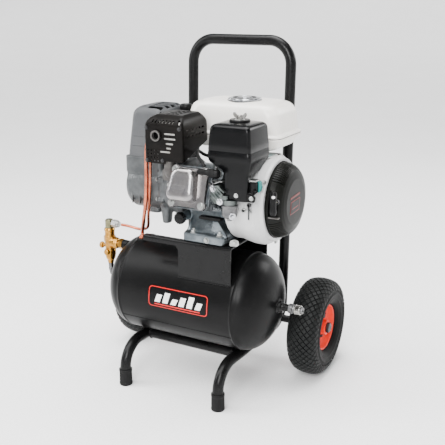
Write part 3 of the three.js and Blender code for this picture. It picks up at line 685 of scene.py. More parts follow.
def build_frame():
    low, high = span("frame_tube")
    top = high.z - TUBE
    side = [(FOOT_X, FOOT_Y, 4, 0), (FOOT_X, FOOT_Y, 108, 62), (139, -12, RUN_Z, 300),
            (POST_X, POST_Y, RUN_Z, 60), (POST_X, POST_Y + 22, top, 62)]
    corners = [(-x, y, z, r) for x, y, z, r in side] + side[::-1]
    piece("bent_tube", sweep(bent(corners, 14), TUBE, 36), "frame_black", stands_for="frame_tube")

    cross = span("front_crossbar")
    _, y, z = centre_of("front_crossbar")
    piece("cross_tube", rod("x", TUBE, cross[0].x - 1, cross[1].x + 1, (0, y, z), 40), "frame_black",
          stands_for="front_crossbar")
    beads = [weld_bead(circle_route((s * (cross[1].x + 0.5), y, z), "x", TUBE + 0.6)) for s in (-1, 1)]
    for s in (-1, 1):
        for offset in (-5, 5):
            beads.append(weld_bead([Vector((s * 139 + offset, y, RUN_Z + TUBE + 0.2))
                                    for y in range(-34, 30, 2)], 1.8))
    piece("frame_welds", together(beads), "frame_black")

    axle_low, axle_high = span("axle")
    _, wheel_y, wheel_z = centre_of("axle")
    ends = rod("x", 10, axle_low.x, axle_high.x, (0, wheel_y, wheel_z), 40, 1.5)
    piece("axle_bar", ends, "axle_steel", stands_for="axle")
    for name, s in (("left", -1), ("right", 1)):
        low, high = span(f"axle_saddle_{name}")
        shape = box(low.x, high.x, low.y, high.y, RUN_Z + 4, high.z + 0.5)
        piece(f"axle_seat_{name}", shape, "frame_black", stands_for=f"axle_saddle_{name}", bevel=1.5)
        beads = [weld_bead([Vector((s * POST_X + x, y, RUN_Z + TUBE - 0.6)) for x in range(-9, 10)])
                 for y in (low.y - 0.5, high.y + 0.5)]
        piece(f"seat_weld_{name}", together(beads), "frame_black")

    for name, s in (("left", -1), ("right", 1)):
        profile = softened([(0, 0), (16.2, 0), (17.1, 1.5), (17, 6), (16.2, 8), (15.9, 36), (17, 38),
                            (17, 43.4), (16.2, 44), (14.2, 44), (14.2, 30), (0, 30)], 0.8, 3)
        at = (s * FOOT_X, FOOT_Y, 0)
        shape = fluted(lathe(profile, "z", at, 96), at, 2, 15, lambda angle,
                       corner: -0.5 * math.cos(24 * angle) if 8 < corner.z < 37 else 0)
        piece(f"foot_{name}", shape, "foot_rubber", stands_for=f"foot_cap_{name}", sharp=60)


# ---------------------------------------------------------------- wheels
TREAD_ROWS = 14
TREAD_AROUND = 46


def tread_curve():
    """(radius, distance) across the tyre from its left to its right shoulder."""
    half = softened([(99, 42.0), (108, 41.2), (117, 37.2), (124.5, 28), (128.2, 14), (129.2, 0)], 8, 3)
    half = [(p.x, p.y) for p in half]
    return [(r, -d) for r, d in half] + [(r, d) for r, d in reversed(half[:-1])]


def on_curve(points, t):
    """The point at the share t of a curve's length, and its outward normal."""
    lengths = [math.dist(a, b) for a, b in zip(points, points[1:])]
    target = max(0, min(1, t)) * sum(lengths)
    for (a, b), length in zip(zip(points, points[1:]), lengths):
        if target <= length or b is points[-1]:
            share = target / length
            direction = Vector((b[0] - a[0], b[1] - a[1])).normalized()
            place = Vector(a).lerp(Vector(b), share)
            return place, Vector((direction.y, -direction.x))
        target -= length


def build_tyre(name, centre):
    skin = 3.0
    walls = [(61.5, 24.5), (64, 30), (70, 36), (78, 39.5), (79.2, 40.6), (80.4, 40), (90, 42.3),
             (91, 43.0), (92.5, 42.4)]
    crown = [(r - skin, d - skin * 0.5 * (1 if d > 0 else -1)) for r, d in tread_curve()]
    outer = [(r, -d) for r, d in walls] + crown + [(r, d) for r, d in reversed(walls)]
    inner = [(61.5, 21), (70, 30), (97, 34), (117, 26), (122, 0), (117, -26), (97, -34), (70, -30),
             (61.5, -21)]
    outline = softened(outer, 1.2, 2, True)
    shape = lathe([(p.x, p.y) for p in outline] + inner, "x", centre, 128, True)
    curve_points = tread_curve()
    blocks = Shape()
    for row in range(TREAD_ROWS):
        middle = (row + 0.5) / TREAD_ROWS
        half_across = 0.94 / TREAD_ROWS
        for column in range(TREAD_AROUND):
            turn = (column + 0.5 * (row % 2)) / TREAD_AROUND * 2 * math.pi
            half_turn = 0.47 * 2 * math.pi / TREAD_AROUND
            corners = []
            for grow, lift in ((0.97, -3.4), (0.93, -0.8), (0.78, 0.0)):
                for du, dv in ((-1, 0), (0, -1), (1, 0), (0, 1)):
                    place, normal = on_curve(curve_points, middle + dv * half_across * grow)
                    radius, distance = place + normal * lift
                    angle = turn + du * half_turn * grow
                    corners.append((distance, radius * math.cos(angle), radius * math.sin(angle)))
            faces = [(0, 3, 2, 1), (8, 9, 10, 11)]
            for level in (0, 4):
                faces += [(level + i, level + (i + 1) % 4, level + 4 + (i + 1) % 4, level + 4 + i)
                          for i in range(4)]
            blocks += Shape(corners, faces)
    piece(f"tyre_carcass_{name}", shape, "carcass_rubber", f"wheel_{name}", stands_for=f"tyre_{name}")
    piece(f"tyre_tread_{name}", blocks.shifted(*centre), "tyre_rubber", f"wheel_{name}", sharp=20)


def build_rim(name, s, centre):
    profile = softened([(61.3, -26), (61.3, 26), (60, 27), (57, 26), (56, 20), (53.5, 13.5), (47, 10),
                        (27, 10), (23, 14), (20.5, 18), (20, 29.6), (11, 29.6), (11, -29.6), (20, -29.6),
                        (20.5, 4), (26, 7.4), (48, 7.4), (54.5, 9), (57.5, -20), (59, -26)], 1.6, 4, True)
    shape = lathe(profile, "x", (0, 0, 0), 96, True)
    holes = rod("x", 6.4, -5, 25, (0, 6, 36), 28)
    flip = Matrix.Translation(centre) @ Matrix.Scale(s, 4, (1, 0, 0))
    piece(f"wheel_rim_{name}", shape.moved(flip), "rim_red", f"wheel_{name}", stands_for=f"rim_{name}",
          cuts=[holes.moved(flip)], bevel=0.5, segments=1)
    bolts = Shape()
    for i in range(3):
        angle = 2 * math.pi * i / 3 + 0.78
        bolts += bolt((10, 30 * math.cos(angle), 30 * math.sin(angle)), (1, 0, 0), 10, 5, 7.5)
    piece(f"rim_bolts_{name}", bolts.moved(flip), "dark_steel_and_shade", f"wheel_{name}")
    cap = rod("x", 7.4, 5.4, 7.2, (0, 6, 36), 28) + rod("x", 2.8, 6, 22, (0, 6, 36), 20)
    piece(f"valve_stem_{name}", cap.moved(flip), "lead_rubber", f"wheel_{name}")


def build_wheels():
    for name, s in (("left", -1), ("right", 1)):
        low, high = span(f"tyre_{name}")
        centre = (low + high) / 2
        build_tyre(name, centre)
        build_rim(name, s, centre)
        low, high = span(f"wheel_nut_{name}")
        inner = low.x if s > 0 else high.x
        shape = hexagon_head(25, 7.4, 14).moved(aimed((s, 0, 0), (inner, centre.y, centre.z)))
        piece(f"axle_nut_{name}", shape, "dark_steel_and_shade", stands_for=f"wheel_nut_{name}")


# ---------------------------------------------------------------- air tank and saddle
TANK_LOW, TANK_HIGH = span("tank_shell")
TANK_RADIUS, TANK_Z = (TANK_HIGH.z - TANK_LOW.z) / 2, (TANK_HIGH.z + TANK_LOW.z) / 2
ON_TANK = TANK_RADIUS + 0.05


def ellipse_dome(radius, depth, straight, steps):
    angles = [math.radians(90 * i / steps) for i in range(steps + 1)]
    return [(radius * math.cos(a), straight + depth * math.sin(a)) for a in angles]


def build_tank():
    radius, axis_z = TANK_RADIUS, TANK_Z
    half, depth = TANK_HIGH.x, 74
    straight = half - depth
    dome = ellipse_dome(radius - 0.6, depth - 0.5, straight + 0.5, 24)
    seam = [(radius, straight - 6), (radius, straight - 1.8), (radius + 0.9, straight - 0.6),
            (radius + 0.9, straight + 1.2), (radius - 0.4, straight + 2.2)]
    right = seam + dome[2:]
    right[-1] = (0, right[-1][1])
    left = [(r, -d) for r, d in reversed(right)]
    shape = lathe(left + right, "x", (0, 0, axis_z), 128)
    piece("tank_body", shape, "tank_black", stands_for="tank_shell", sharp=50)

    seam_angle = math.radians(118)
    line = [Vector((x, -radius * math.sin(seam_angle), axis_z + radius * math.cos(seam_angle)))
            for x in range(-int(straight), int(straight), 3)]
    piece("tank_seam_weld", weld_bead(line, 1.1), "tank_black")

    boss = softened([(5, half - 4), (19, half - 4), (19, half + 0.6), (15, half + 2), (15, half + 8),
                     (10.4, half + 9.5), (9.4, half + 13), (9.4, half + 26.6), (5, half + 26.6)], 1, 3,
                    True)
    piece("outlet_fitting", lathe(boss, "x", (0, 0, axis_z), 48, True), "frame_black",
          stands_for="outlet_nipple")
    start = span("coupler_body")[0].x
    body = softened([(4, start), (12, start), (12, start + 10), (9, start + 11), (8.5, start + 13),
                     (8.5, start + 34), (8, start + 36), (6.5, start + 36.2), (4, start + 34)], 0.5, 2,
                    True)
    hexagon = prism(disc(12.2, 6), start + 0.2, start + 10, "x").shifted(0, 0, axis_z)
    piece("coupler_barrel", lathe(body, "x", (0, 0, axis_z), 40, True), "bowl_zinc",
          stands_for="coupler_body", add=[hexagon], bevel=0.5)
    low, high = span("coupler_sleeve")
    ridges = [(12.4 if i % 2 else 11.5, low.x + 3 + i * 1.1) for i in range(9)]
    sleeve = softened([(8.9, low.x), (11.8, low.x), (12.4, low.x + 1), (12.4, low.x + 2), *ridges,
                       (12.4, high.x - 2), (11.6, high.x), (8.9, high.x)], 0.4, 2, True)
    piece("coupler_ring", lathe(sleeve, "x", (0, 0, axis_z), 48, True), "dark_chrome", "coupler",
          stands_for="coupler_sleeve")

    low, high = span("drain_valve")
    x, y, _ = centre_of("drain_valve")
    body = softened([(2, low.z), (7, low.z), (7, low.z + 11), (6, low.z + 13), (6, high.z), (2, high.z)],
                    0.7, 2, True)
    piece("drain_body", lathe(body, "z", (x, y, 0), 40, True), "brass", stands_for="drain_valve",
          add=[prism(disc(8, 6), low.z + 3, low.z + 9).shifted(x, y)], bevel=0.4)
    knob_low, knob_high = span("drain_knob")
    wing = rod("z", 7.6, knob_low.z, knob_high.z, (x, y, 0), 32)
    bar = slab(x - 12, x + 12, y - 2, y + 2, 1.8, knob_low.z + 0.6, knob_high.z - 0.8)
    piece("drain_wing", wing, "brass", "drain", stands_for="drain_knob", add=[bar], bevel=0.6)


def tank_patch(x0, x1, z0, z1, corner, thick):
    """A thin sheet that lies on the front of the tank, over a rounded rectangle in X and arc height."""
    outline = rounded(x0, x1, z0, z1, corner, 5) if corner else [(x0, z0), (x1, z0), (x1, z1), (x0, z1)]
    return wrapped(outline, thick)


def wrapped(outline, thick):
    """A flat outline in X and height wrapped round the front of the tank, in level strips."""
    sheet = bmesh.new()
    flat = [sheet.verts.new((p[0], 0, p[1])) for p in outline]
    sheet.faces.new(flat)
    heights = [p[1] for p in outline]
    low, high = min(heights), max(heights)
    level = math.floor(low)
    while level < high:
        level += 2
        bmesh.ops.bisect_plane(sheet, geom=[*sheet.verts, *sheet.edges, *sheet.faces],
                               plane_co=(0, 0, level), plane_no=(0, 0, 1))
    shape = Shape()
    sheet.verts.index_update()
    count = len(sheet.verts)
    for out in (ON_TANK, ON_TANK + thick):
        for vertex in sheet.verts:
            angle = vertex.co.z / ON_TANK
            shape.corners.append(Vector((vertex.co.x, -out * math.cos(angle),
                                         TANK_Z + out * math.sin(angle))))
    for face in sheet.faces:
        ids = [vertex.index for vertex in face.verts]
        shape.faces += [tuple(reversed(ids)), tuple(count + i for i in ids)]
    for edge in sheet.edges:
        if len(edge.link_faces) == 1:
            a, b = (vertex.index for vertex in edge.verts)
            shape.faces.append((a, b, count + b, count + a))
    sheet.free()
    return shape


LABEL = (-68, 100, -10, 42)
BAR_HEIGHTS = (20, 27, 15, 23, 29, 18)


def build_decal():
    """A plain label: a red border, and white bars of uneven height over a red stripe."""
    x0, x1, z0, z1 = LABEL
    piece("label_border", tank_patch(x0, x1, z0, z1, 9, 0.15), "print_red")
    piece("label_field", tank_patch(x0 + 2.2, x1 - 2.2, z0 + 2.2, z1 - 2.2, 7, 0.3), "print_black")
    bars = Shape()
    slant, foot = 7, z0 + 13
    for i, height in enumerate(BAR_HEIGHTS):
        x = x0 + 18 + i * 23
        outline = [(x, foot), (x + 15, foot), (x + 15 + slant, foot + height), (x + slant, foot + height)]
        bars += wrapped(outline, 0.45)
    piece("label_bars", bars, "print_and_glint_white")
    piece("label_stripe", tank_patch(x0 + 18, x1 - 20, z0 + 6, z0 + 9, 0, 0.45), "print_red")


def build_saddle():
    low, high = span("saddle_plate")
    wall, fold = 3, 7
    shape = slab(low.y, high.y, low.z - 60, high.z, fold, low.x, high.x, "x")
    inner = slab(low.y + wall, high.y - wall, low.z - 80, high.z - wall, fold - wall, low.x - 5,
                 high.x + 5, "x")
    lip_low, skirt_x = 391.5, 8
    foot = prism(softened([(low.x - 5, low.z - 70), (low.x - 5, lip_low + 3), (low.x + 3, lip_low),
                           (skirt_x - 8, lip_low), (skirt_x, lip_low - 9), (skirt_x, low.z - 70)], 5, 4),
                 low.y - 5, high.y + 5, "y")
    window = slab(low.x - 20, 28, low.y + 16, high.y - 16, 10, high.z - 10, high.z + 5)
    tank_gap = rod("x", TANK_RADIUS + 0.4, low.x - 20, high.x + 20, (0, 0, TANK_Z), 128)
    piece("saddle_sheet", shape, "frame_black", stands_for="saddle_plate",
          cuts=[inner, foot, window, tank_gap], bevel=0.6)

    beads = []
    reach = math.sqrt((TANK_RADIUS + 1) ** 2 - high.y ** 2)
    for s in (-1, 1):
        beads.append(weld_bead([Vector((x, s * (high.y + 0.8), TANK_Z + reach))
                                for x in [skirt_x + 2 * i for i in range(int((high.x - skirt_x) / 2))]],
                               1.5))
    piece("saddle_welds", together(beads), "frame_black")


# ---------------------------------------------------------------- engine
CRANK_Z = centre_of("flywheel_fan")[2]
HEAD_X = centre_of("piston")[0]
BASE_BOLTS = ((44, -86), (115, -86), (44, 76), (115, 76))
COVER_CIRCLE, PUMP_CIRCLE, FAN_CIRCLE = 64, 65, 101
COVER_BOLT = 38.5
TILT = math.radians(-16)
BARREL = Matrix.Translation((HEAD_X, 0, CRANK_Z)) @ Matrix.Rotation(TILT, 4, "X")
OUTWARD = Matrix.Rotation(math.pi / 2, 4, "X")
OUT = BARREL.to_3x3() @ Vector((0, -1, 0))


def on_barrel(x, out, z):
    """A point beside the barrel's axis: across, outwards along the axis, and up."""
    return BARREL @ Vector((x, -out, z))


def round_crank(x, radius, degrees):
    """A point on a circle round the crank axis, which starts at +Y and turns towards +Z."""
    angle = math.radians(degrees)
    return x, radius * math.cos(angle), CRANK_Z + radius * math.sin(angle)


def build_block():
    low, high = span("crankcase")
    x0, x1 = low.x + 13, 128
    shape = loft([(low.z, x0, x1, -96, 86, 7), (low.z + 19, x0, x1, -96, 86, 7),
                  (low.z + 22, x0 + 2, x1 - 2, -93, 82, 9), (low.z + 25, x0 + 4, x1 - 3, -88, 78, 10),
                  (low.z + 54, x0 + 7, x1 - 9, -73, 68, 12), (CRANK_Z - 20, x0 - 2, x1 - 4, -66, 66, 12),
                  (CRANK_Z + 10, x0 - 2, x1 - 4, -62, 62, 14)], 5)
    drum = rod("x", 68, 18, 129.6, (0, 0, CRANK_Z), 72, 2.5)
    barrel = box(-43, 43, -118, 0, -43, 43).moved(BARREL)
    neck = rod("y", 12, -98, -55, (17, 0, CRANK_Z - 48), 32)
    web = prism([(96, 463), (112, 463), (133, 433), (133, 424), (96, 424)], -86, -60, "y")
    extra = Shape()
    for x, y in BASE_BOLTS:
        extra += rod("z", 9, low.z, low.z + 22, (x, y, 0), 28)
    for angle in (20, 70, 115, 160, 205, 250, 295, 340):
        extra += rod("x", 7, 100, 129.6, round_crank(0, COVER_CIRCLE, angle), 24)
    bore = rod("x", 54, 10, 60, (0, 0, CRANK_Z), 48) + rod("y", 35, -130, 0, (0, 0, 0), 64).moved(BARREL)
    piece("engine_block", shape, "block_aluminium", stands_for="crankcase",
          add=[drum, barrel, neck, web, extra], cuts=[bore], melt=1.7)
    bolts = Shape()
    for x, y in BASE_BOLTS:
        bolts += bolt((x, y, low.z + 21.6), (0, 0, 1), 12, 7, 9.5, 4)
    for angle in (250, 295):
        bolts += bolt(round_crank(100, COVER_CIRCLE, angle), (-1, 0, 0), 8, 5, 6)
    bolts += bolt((84, -95.6, low.z + 9), (0, -1, 0), 10, 5.5, 7.5)
    bolts += bolt((160, -97.4, 422), (0, -1, 0), 8, 4, 6)
    piece("block_bolts", bolts, "zinc")
    tab = soft_plate([(146, 411), (166, 413), (171, 418), (169, 427), (158, 429), (148, 424)], 3, 3, -97.2,
                     -94.6, "y")
    piece("cover_bracket", tab, "zinc", bevel=0.5)
    # A dark cord along the edge of the crankcase's side flange: a painted shadow line.
    seam = [Vector(p) for p in ((110, -87, 465), (122, -87.6, 449), (134.6, -88, 432), (136, -88, 422))]
    piece("block_shadow_line", sweep(curve(seam, 5), 1.1, 10), "gasket_and_shadow_black")
    # A black band under the head's flange: a gasket collar whose black also paints the shadow under the
    # flange.
    collar = slab(56, 116, 462, 470, 3.6, -84, -60, "y")
    piece("barrel_collar_and_shadow", collar, "satin_black", bevel=1.2, slot="gasket")

    fins = Shape()
    for i in range(7):
        out = 72 + i * 6.6
        half = 46.5 - 1.2 * (i % 2)
        plate = slab(-half, half, -half, half, 9, out, out + 2.2)
        fins += plate.moved(BARREL @ OUTWARD)
    piece("barrel_fins", fins, "cast_aluminium", bevel=0.5, segments=1)

    low, high = span("oil_filler_cap")
    x, _, z = centre_of("oil_filler_cap")
    knob = lathe(softened([(0, high.y), (13.5, high.y), (15, high.y - 2), (15, low.y + 5),
                           (13, low.y + 1.5), (0, low.y + 1)], 1.2, 3), "y", (x, 0, z), 90)
    knob = fluted(knob, (x, 0, z), 1, 12, lambda angle, corner: 0.7 + 0.7 * math.cos(15 * angle))
    ridge = slab(x - 9, x + 9, z - 2.2, z + 2.2, 1.5, low.y, low.y + 4, "y")
    piece("oil_cap_knob", knob + ridge, "gloss_black", "oil_cap", stands_for="oil_filler_cap")


def corner_lobes(half, lobe, notch, steps=7):
    """A square outline with a round lobe at each corner and sides drawn in between them."""
    points = []
    for quarter in range(4):
        turn = math.pi / 2 * quarter
        centre = Vector((half - lobe, half - lobe))
        arc = [centre + lobe * Vector((math.cos(a), math.sin(a)))
               for a in [math.radians(-40 + 170 * i / steps) for i in range(steps + 1)]]
        side = [Vector((half - notch, -half * 0.45)), Vector((half - notch, half * 0.42))]
        for p in [*side, *arc]:
            points.append(Vector((p.x * math.cos(turn) - p.y * math.sin(turn),
                                  p.x * math.sin(turn) + p.y * math.cos(turn))))
    return points


def build_head():
    place = BARREL @ OUTWARD
    core = slab(-42, 42, -42, 42, 8, 118.6, 152)
    fins = Shape()
    for out in (119, 127, 135, 143):
        fins += slab(-49.5, 49.5, -49.5, 49.5, 10, out, out + 2.6)
    flange = soft_plate(corner_lobes(49.8, 12, 4), 2, 2, 148, 155)
    boss = slab(40, 73, 25, 49, 9, 122, 140)
    piece("head_casting", core.moved(place), "cast_aluminium", stands_for="cylinder_head",
          add=[fins.moved(place), flange.moved(place), boss.moved(place)], bevel=0.7)
    seal = soft_plate(corner_lobes(49.6, 12, 3.4), 2, 2, 155.2, 156.9)
    piece("cover_seal", seal.moved(place), "gasket_and_shadow_black", stands_for="cover_gasket")

    plate = soft_plate(corner_lobes(49, 11.5, 4.4), 2, 2, 157.1, 162.5).moved(place)
    dome = loft([(161, -46, 26, -37, 44, 15), (163.5, -45, 25, -35.6, 43, 15),
                 (170, -44.2, 24.2, -34, 42, 16), (178, -43.4, 23.4, -32.5, 41.4, 17),
                 (182, -42, 22, -31, 40, 17), (184.5, -39, 19, -28, 37, 16), (186, -34, 14, -23, 32, 14),
                 (186.3, -28, 8, -17, 26, 12)], 8)
    for corner in dome.corners:
        corner.x = -9 + (corner.x + 9) * (1.1 - 0.26 * (corner.y + 37) / 81) + 0.05 * (corner.y - 3)
    dome = dome.moved(place)
    piece("rocker_cover", plate, "cover_aluminium", stands_for="valve_cover", add=[dome], bevel=1.1,
          segments=3, sharp=50)
    relief = Shape()
    for i, (left, right) in enumerate(((-32, 10), (-28, 6), (-32, 10))):
        height = -14 + 7.5 * i
        relief += slab(left, right, height, height + 3.4, 1.6, 185.4, 187.1)
    piece("cover_ribs", relief.moved(place), "cover_aluminium", bevel=0.4)
    heads = Shape()
    for x in (-COVER_BOLT, COVER_BOLT):
        for z in (-COVER_BOLT, COVER_BOLT):
            heads += rod("z", 8.2, 162, 165, (x, z, 0), 28).moved(place)
            heads += bolt(on_barrel(x, 165, z), OUT, 9.5, 6, 7)
    piece("cover_bolts", heads, "zinc")

    plug_x, plug_z = 62, 38
    plug = lathe([(0, 129), (6.8, 129), (6.8, 140.6), (10, 140.8), (10, 147.6), (5, 149), (5, 160),
                  (0, 160)], "z", (plug_x, plug_z, 0), 32).moved(place)
    piece("plug_body", plug, "zinc", stands_for="spark_plug", slot="steel")
    boot = lathe(softened([(5.6, 150.2), (10.6, 150.2), (11, 152), (9.6, 155), (9.8, 168), (10.6, 176),
                           (8, 181.5), (0, 183)], 1, 3), "z", (plug_x, plug_z, 0), 40).moved(place)
    centre = on_barrel(plug_x, 174, plug_z)
    arm = lathe(softened([(0, -35), (5.6, -35), (6.8, -33), (6.8, -12), (8, -8), (8, 6), (6.4, 10),
                          (6.4, 15.4), (4.4, 16), (0, 16)], 1, 3), "x", centre, 40)
    piece("plug_boot", boot + arm, "lead_rubber", stands_for="spark_plug_cap")


LEAD = [(115, -156.7, 609.5), (111, -155, 613.5), (99, -145, 619), (84, -130, 625), (70, -112, 630),
        (63, -90, 628), (64, -66, 616), (80, -44, 605), (104, -32, 600), (129.8, -30, 600)]


def build_muffler():
    low, high = span("muffler_guard")
    x0, x1, y0, y1 = low.x, high.x, low.y, high.y
    outside = [(low.z, x0, x1, y0, y1, 7), (686, x0, x1 - 1.8, y0, y1, 7),
               (692, x0 + 1, x1 - 2.6, y0 + 1, y1 - 0.6, 8), (697, x0 + 3, x1 - 4.6, y0 + 3.6, y1 - 2, 9),
               (703, x0 + 7, x1 - 8, y0 + 8, y1 - 5, 10), (707.6, x0 + 13, x1 - 12.6, y0 + 17.4, y1 - 8.6,
                                                           9), (high.z, x0 + 20, x1 - 18, y0 + 28, y1 - 12,
                                                                7)]
    inside = [(low.z - 10, x0 + 1.5, x1 - 1.5, y0 + 1.5, y1 - 1.5, 5.5), *shrunk(outside[1:], 1.5, -1.5)]
    outlet = (-22, 665)
    holes = rod("y", 12.4, y0 - 5, y0 + 5, (outlet[0], 0, outlet[1]), 40)
    for left, right, z in ((-1, 28, 670.5), (-2, 29, 659.5), (3, 23, 648), (4, 17, 637.5),
                           (-13, 15, 628.5)):
        holes += slab(left, right, z - 2, z + 2, 1.9, y0 - 5, y0 + 5, "y", steps=4)
    for i in range(7):
        lean = Matrix.Translation((-33 + i * 9, y0, 697.5)) @ Matrix.Rotation(0.4, 4, "Y")
        holes += slab(-1.7, 1.7, -4.4, 4.4, 1.6, -8, 9, "y", steps=3).moved(lean)
    lean = Matrix.Translation((37, y0, 698)) @ Matrix.Rotation(-0.35, 4, "Y")
    holes += slab(-2.6, 2.6, -5.5, 5.5, 2.4, -8, 12, "y", steps=3).moved(lean)
    for column in range(4):
        for row in range(4):
            holes += rod("y", 1.9, y0 - 5, y0 + 5, (-46 + column * 9, 0, 606 + row * 8), 16, 0.1)
    for z in (662, 676):
        for i in range(5):
            holes += slab(y0 + 16 + i * 18, y0 + 28 + i * 18, z, z + 4.6, 2.2, x1 - 8, x1 + 5, "x",
                          steps=3)
    for row in range(3):
        for i in range(4):
            holes += slab(-16 + row * 12, -8 + row * 12, y0 + 34 + i * 16, y0 + 45 + i * 16, 2.4,
                          high.z - 6, high.z + 5, steps=3)
    wedge = prism([(y0 - 10, low.z - 20), (y0 - 10, 604), (y1 + 10, 648), (y1 + 10, low.z - 20)], 2,
                  x1 + 20, "x")
    piece("muffler_shield", loft(outside, 7), "heat_black", stands_for="muffler_guard",
          cuts=[loft(inside, 7), holes, wedge], bevel=0.35, segments=1, sharp=45)
    # The liner's light grey makes the guard's slots read as painted highlights.
    liner = prism([(y0 + 1.8, 620), (y0 + 1.8, 690), (y0 + 9.6, 698), (y0 + 10.4, 697.2),
                   (y0 + 2.8, 689.6), (y0 + 2.8, 620)], -17, x1 - 12, "x")
    piece("muffler_liner", liner, "liner_highlight_grey", cuts=[rod("y", 12.4, y0 - 5, y0 + 15,
                                                          (outlet[0], 0, outlet[1]), 40)])

    can = loft([(612, -46, 40, -126, -44, 14), (616, -49, 43, -129, -41, 16),
                (650, -49, 43, -129, -41, 16), (678, -48, 42, -128, -42, 16),
                (683, -44, 38, -124, -46, 14)], 6)
    elbow = sweep(bent([(2, -104, 572, 0), (2, -120, 572, 10), (2, -120, 618, 0)], 8), 14, 28)
    foot = slab(-16, 20, 558, 586, 6, -126, -120, "y")
    piece("muffler_can", can + elbow + foot, "exhaust_and_highlight_grey", stands_for="muffler_body")
    tail = soft_ring([(8.6, y0 + 20), (10.6, y0 + 20), (10.6, y0 - 3), (13, y0 - 4.6), (12.8, y0 - 6),
                      (9, y0 - 6), (8.6, y0 - 4)], 0.4, 2, "y", (outlet[0], 0, outlet[1]), 48)
    piece("muffler_tail", tail, "exhaust_and_highlight_grey")
    screen = rod("y", 8.3, y0 + 2, y0 + 4, (outlet[0], 0, outlet[1]), 32)
    piece("spark_screen", screen, "soot_and_shade_black", slot="muffler_black")
    screws = Shape()
    for x, z in ((x0 + 7, 682), (x0 + 7, 606), (x1 - 10, 684), (-6, 608)):
        screws += bolt((x, y0, z), (0, -1, 0), 6.5, 3.4, 4.6)
    piece("shield_screws", screws, "dark_steel_and_shade", slot="muffler_black")
    piece("plug_lead", sweep(curve(LEAD, 6), 4.0, 16), "lead_rubber", stands_for="ignition_lead")


def build_carburettor():
    low, high = span("carburettor")
    bowl_x, bowl_y, _ = centre_of("float_bowl")
    right = low.x + 27.4
    outline = softened([(low.x, 530), (low.x + 6, 524), (right + 2, 524), (right + 4, 540), (right, 560),
                        (right - 4, high.z), (low.x + 2, high.z - 3), (low.x, 552)], 4, 4, True)
    shape = prism(outline, low.y + 4, high.y, "y")
    flange = slab(low.x, right + 2, 528, high.z, 8, high.y - 6, high.y, "y")
    seat = rod("z", 17.6, 523.4, 534, (bowl_x, bowl_y, 0), 40)
    bridge = slab(right - 12, bowl_x, bowl_y - 13, bowl_y + 13, 5, 524, 544)
    ribs = Shape()
    for i in range(6):
        lean = Matrix.Translation((low.x + 7 + i * 4.4, 0, 533 + i * 5.2)) @ Matrix.Rotation(0.7, 4, "Y")
        ribs += slab(-13 + abs(i - 2.5), 13 - abs(i - 2.5), -1.2, 1.2, 1.1, low.y + 0.6, low.y + 8, "y",
                     steps=3).moved(lean)
    throat = rod("z", 7, 520, 548, (low.x + 12, low.y + 20, 0), 28)
    piece("carburettor_body", shape, "carburettor_zinc", stands_for="carburettor",
          add=[flange, seat, bridge, ribs, throat], bevel=0.6)
    bowl = softened([(0, 484.4), (5.6, 484.4), (6.2, 486), (6.2, 490.6), (13, 492), (16.6, 495.4),
                     (17.8, 500), (17.8, 515.4), (19.2, 516.6), (19.2, 522.7), (0, 522.7)], 0.9, 3)
    piece("fuel_bowl", lathe(bowl, "z", (bowl_x, bowl_y, 0), 64), "bowl_zinc", stands_for="float_bowl")
    nuts = hexagon_head(10, 5).moved(aimed((0, 0, -1), (bowl_x, bowl_y, 490.4)))
    nuts += bolt((bowl_x + 13.4, bowl_y - 13.4, 499), (1, -1, 0), 8, 6)
    nuts += bolt((low.x + 7, low.y + 4, 558), (0, -1, 0), 7, 4)
    nuts += bolt((right - 3, low.y + 4, 530), (0, -1, 0), 7, 4)
    piece("carburettor_screws", nuts, "chrome")
    spacer = slab(low.x - 1, right + 1, 522, 566, 8, high.y, high.y + 4, "y")
    spacer += slab(low.x + 2, right - 2, 526, 562, 8, high.y + 4, -88, "y")
    piece("carburettor_spacer", spacer, "satin_black")

    plate = soft_plate([(92, -128), (146, -132), (148, -70), (118, -52), (88, -52)], 6, 4, 571.5, 573.5)
    plate += soft_plate([(88, 564), (120, 564), (120, 598), (100, 604), (88, 596)], 5, 4, -54, -51.6, "y")
    edge = sweep([Vector(p) for p in ((120, -141, 564.6), (131, -141, 569.6), (147, -140, 576.4))], 1.5,
                 10)
    piece("control_plate", plate + edge, "zinc")
    rods = sweep(bent([(94, -64, 580, 0), (94, -100, 580, 5), (106, -132, 572, 6), (122, -142, 560, 4),
                       (124, -148, 548, 0)], 6), 1.3, 10)
    rods += sweep(bent([(132, -60, 586, 0), (132, -104, 586, 6), (126, -144, 578, 5), (134, -150, 556, 0)],
                       6), 1.1, 10)
    rods += sweep(bent([(98, -58, 592, 0), (110, -100, 592, 6), (128, -124, 582, 5), (138, -140, 570, 0)],
                       6), 1.0, 10)
    piece("control_rods", rods, "bowl_zinc")
    springs = coil((92, -60, 586), (118, -118, 584), 3.4, 0.7, 18)
    springs += coil((104, -134, 574), (130, -146, 562), 2.8, 0.6, 14)
    piece("control_springs", springs, "bowl_zinc")
    arm = soft_plate([(88, 566), (96, 566), (98, 590), (94, 600), (88, 598)], 3, 3, -68, -66, "y")
    screws = bolt((104, -96, 573.5), (0, 0, 1), 8, 5, 7) + bolt((130, -112, 573.5), (0, 0, 1), 8, 5, 7)
    screws += bolt((106, -54, 584), (0, -1, 0), 8, 5, 7)
    piece("control_arm", arm + screws, "zinc")
    hose = curve([(108, -2, 604), (112, -22, 592), (116, -50, 575), (116, -84, 556), (118, -100, 545),
                  (124, -112, 540)], 8)
    piece("fuel_hose", sweep(hose, 3.6, 16), "lead_rubber")


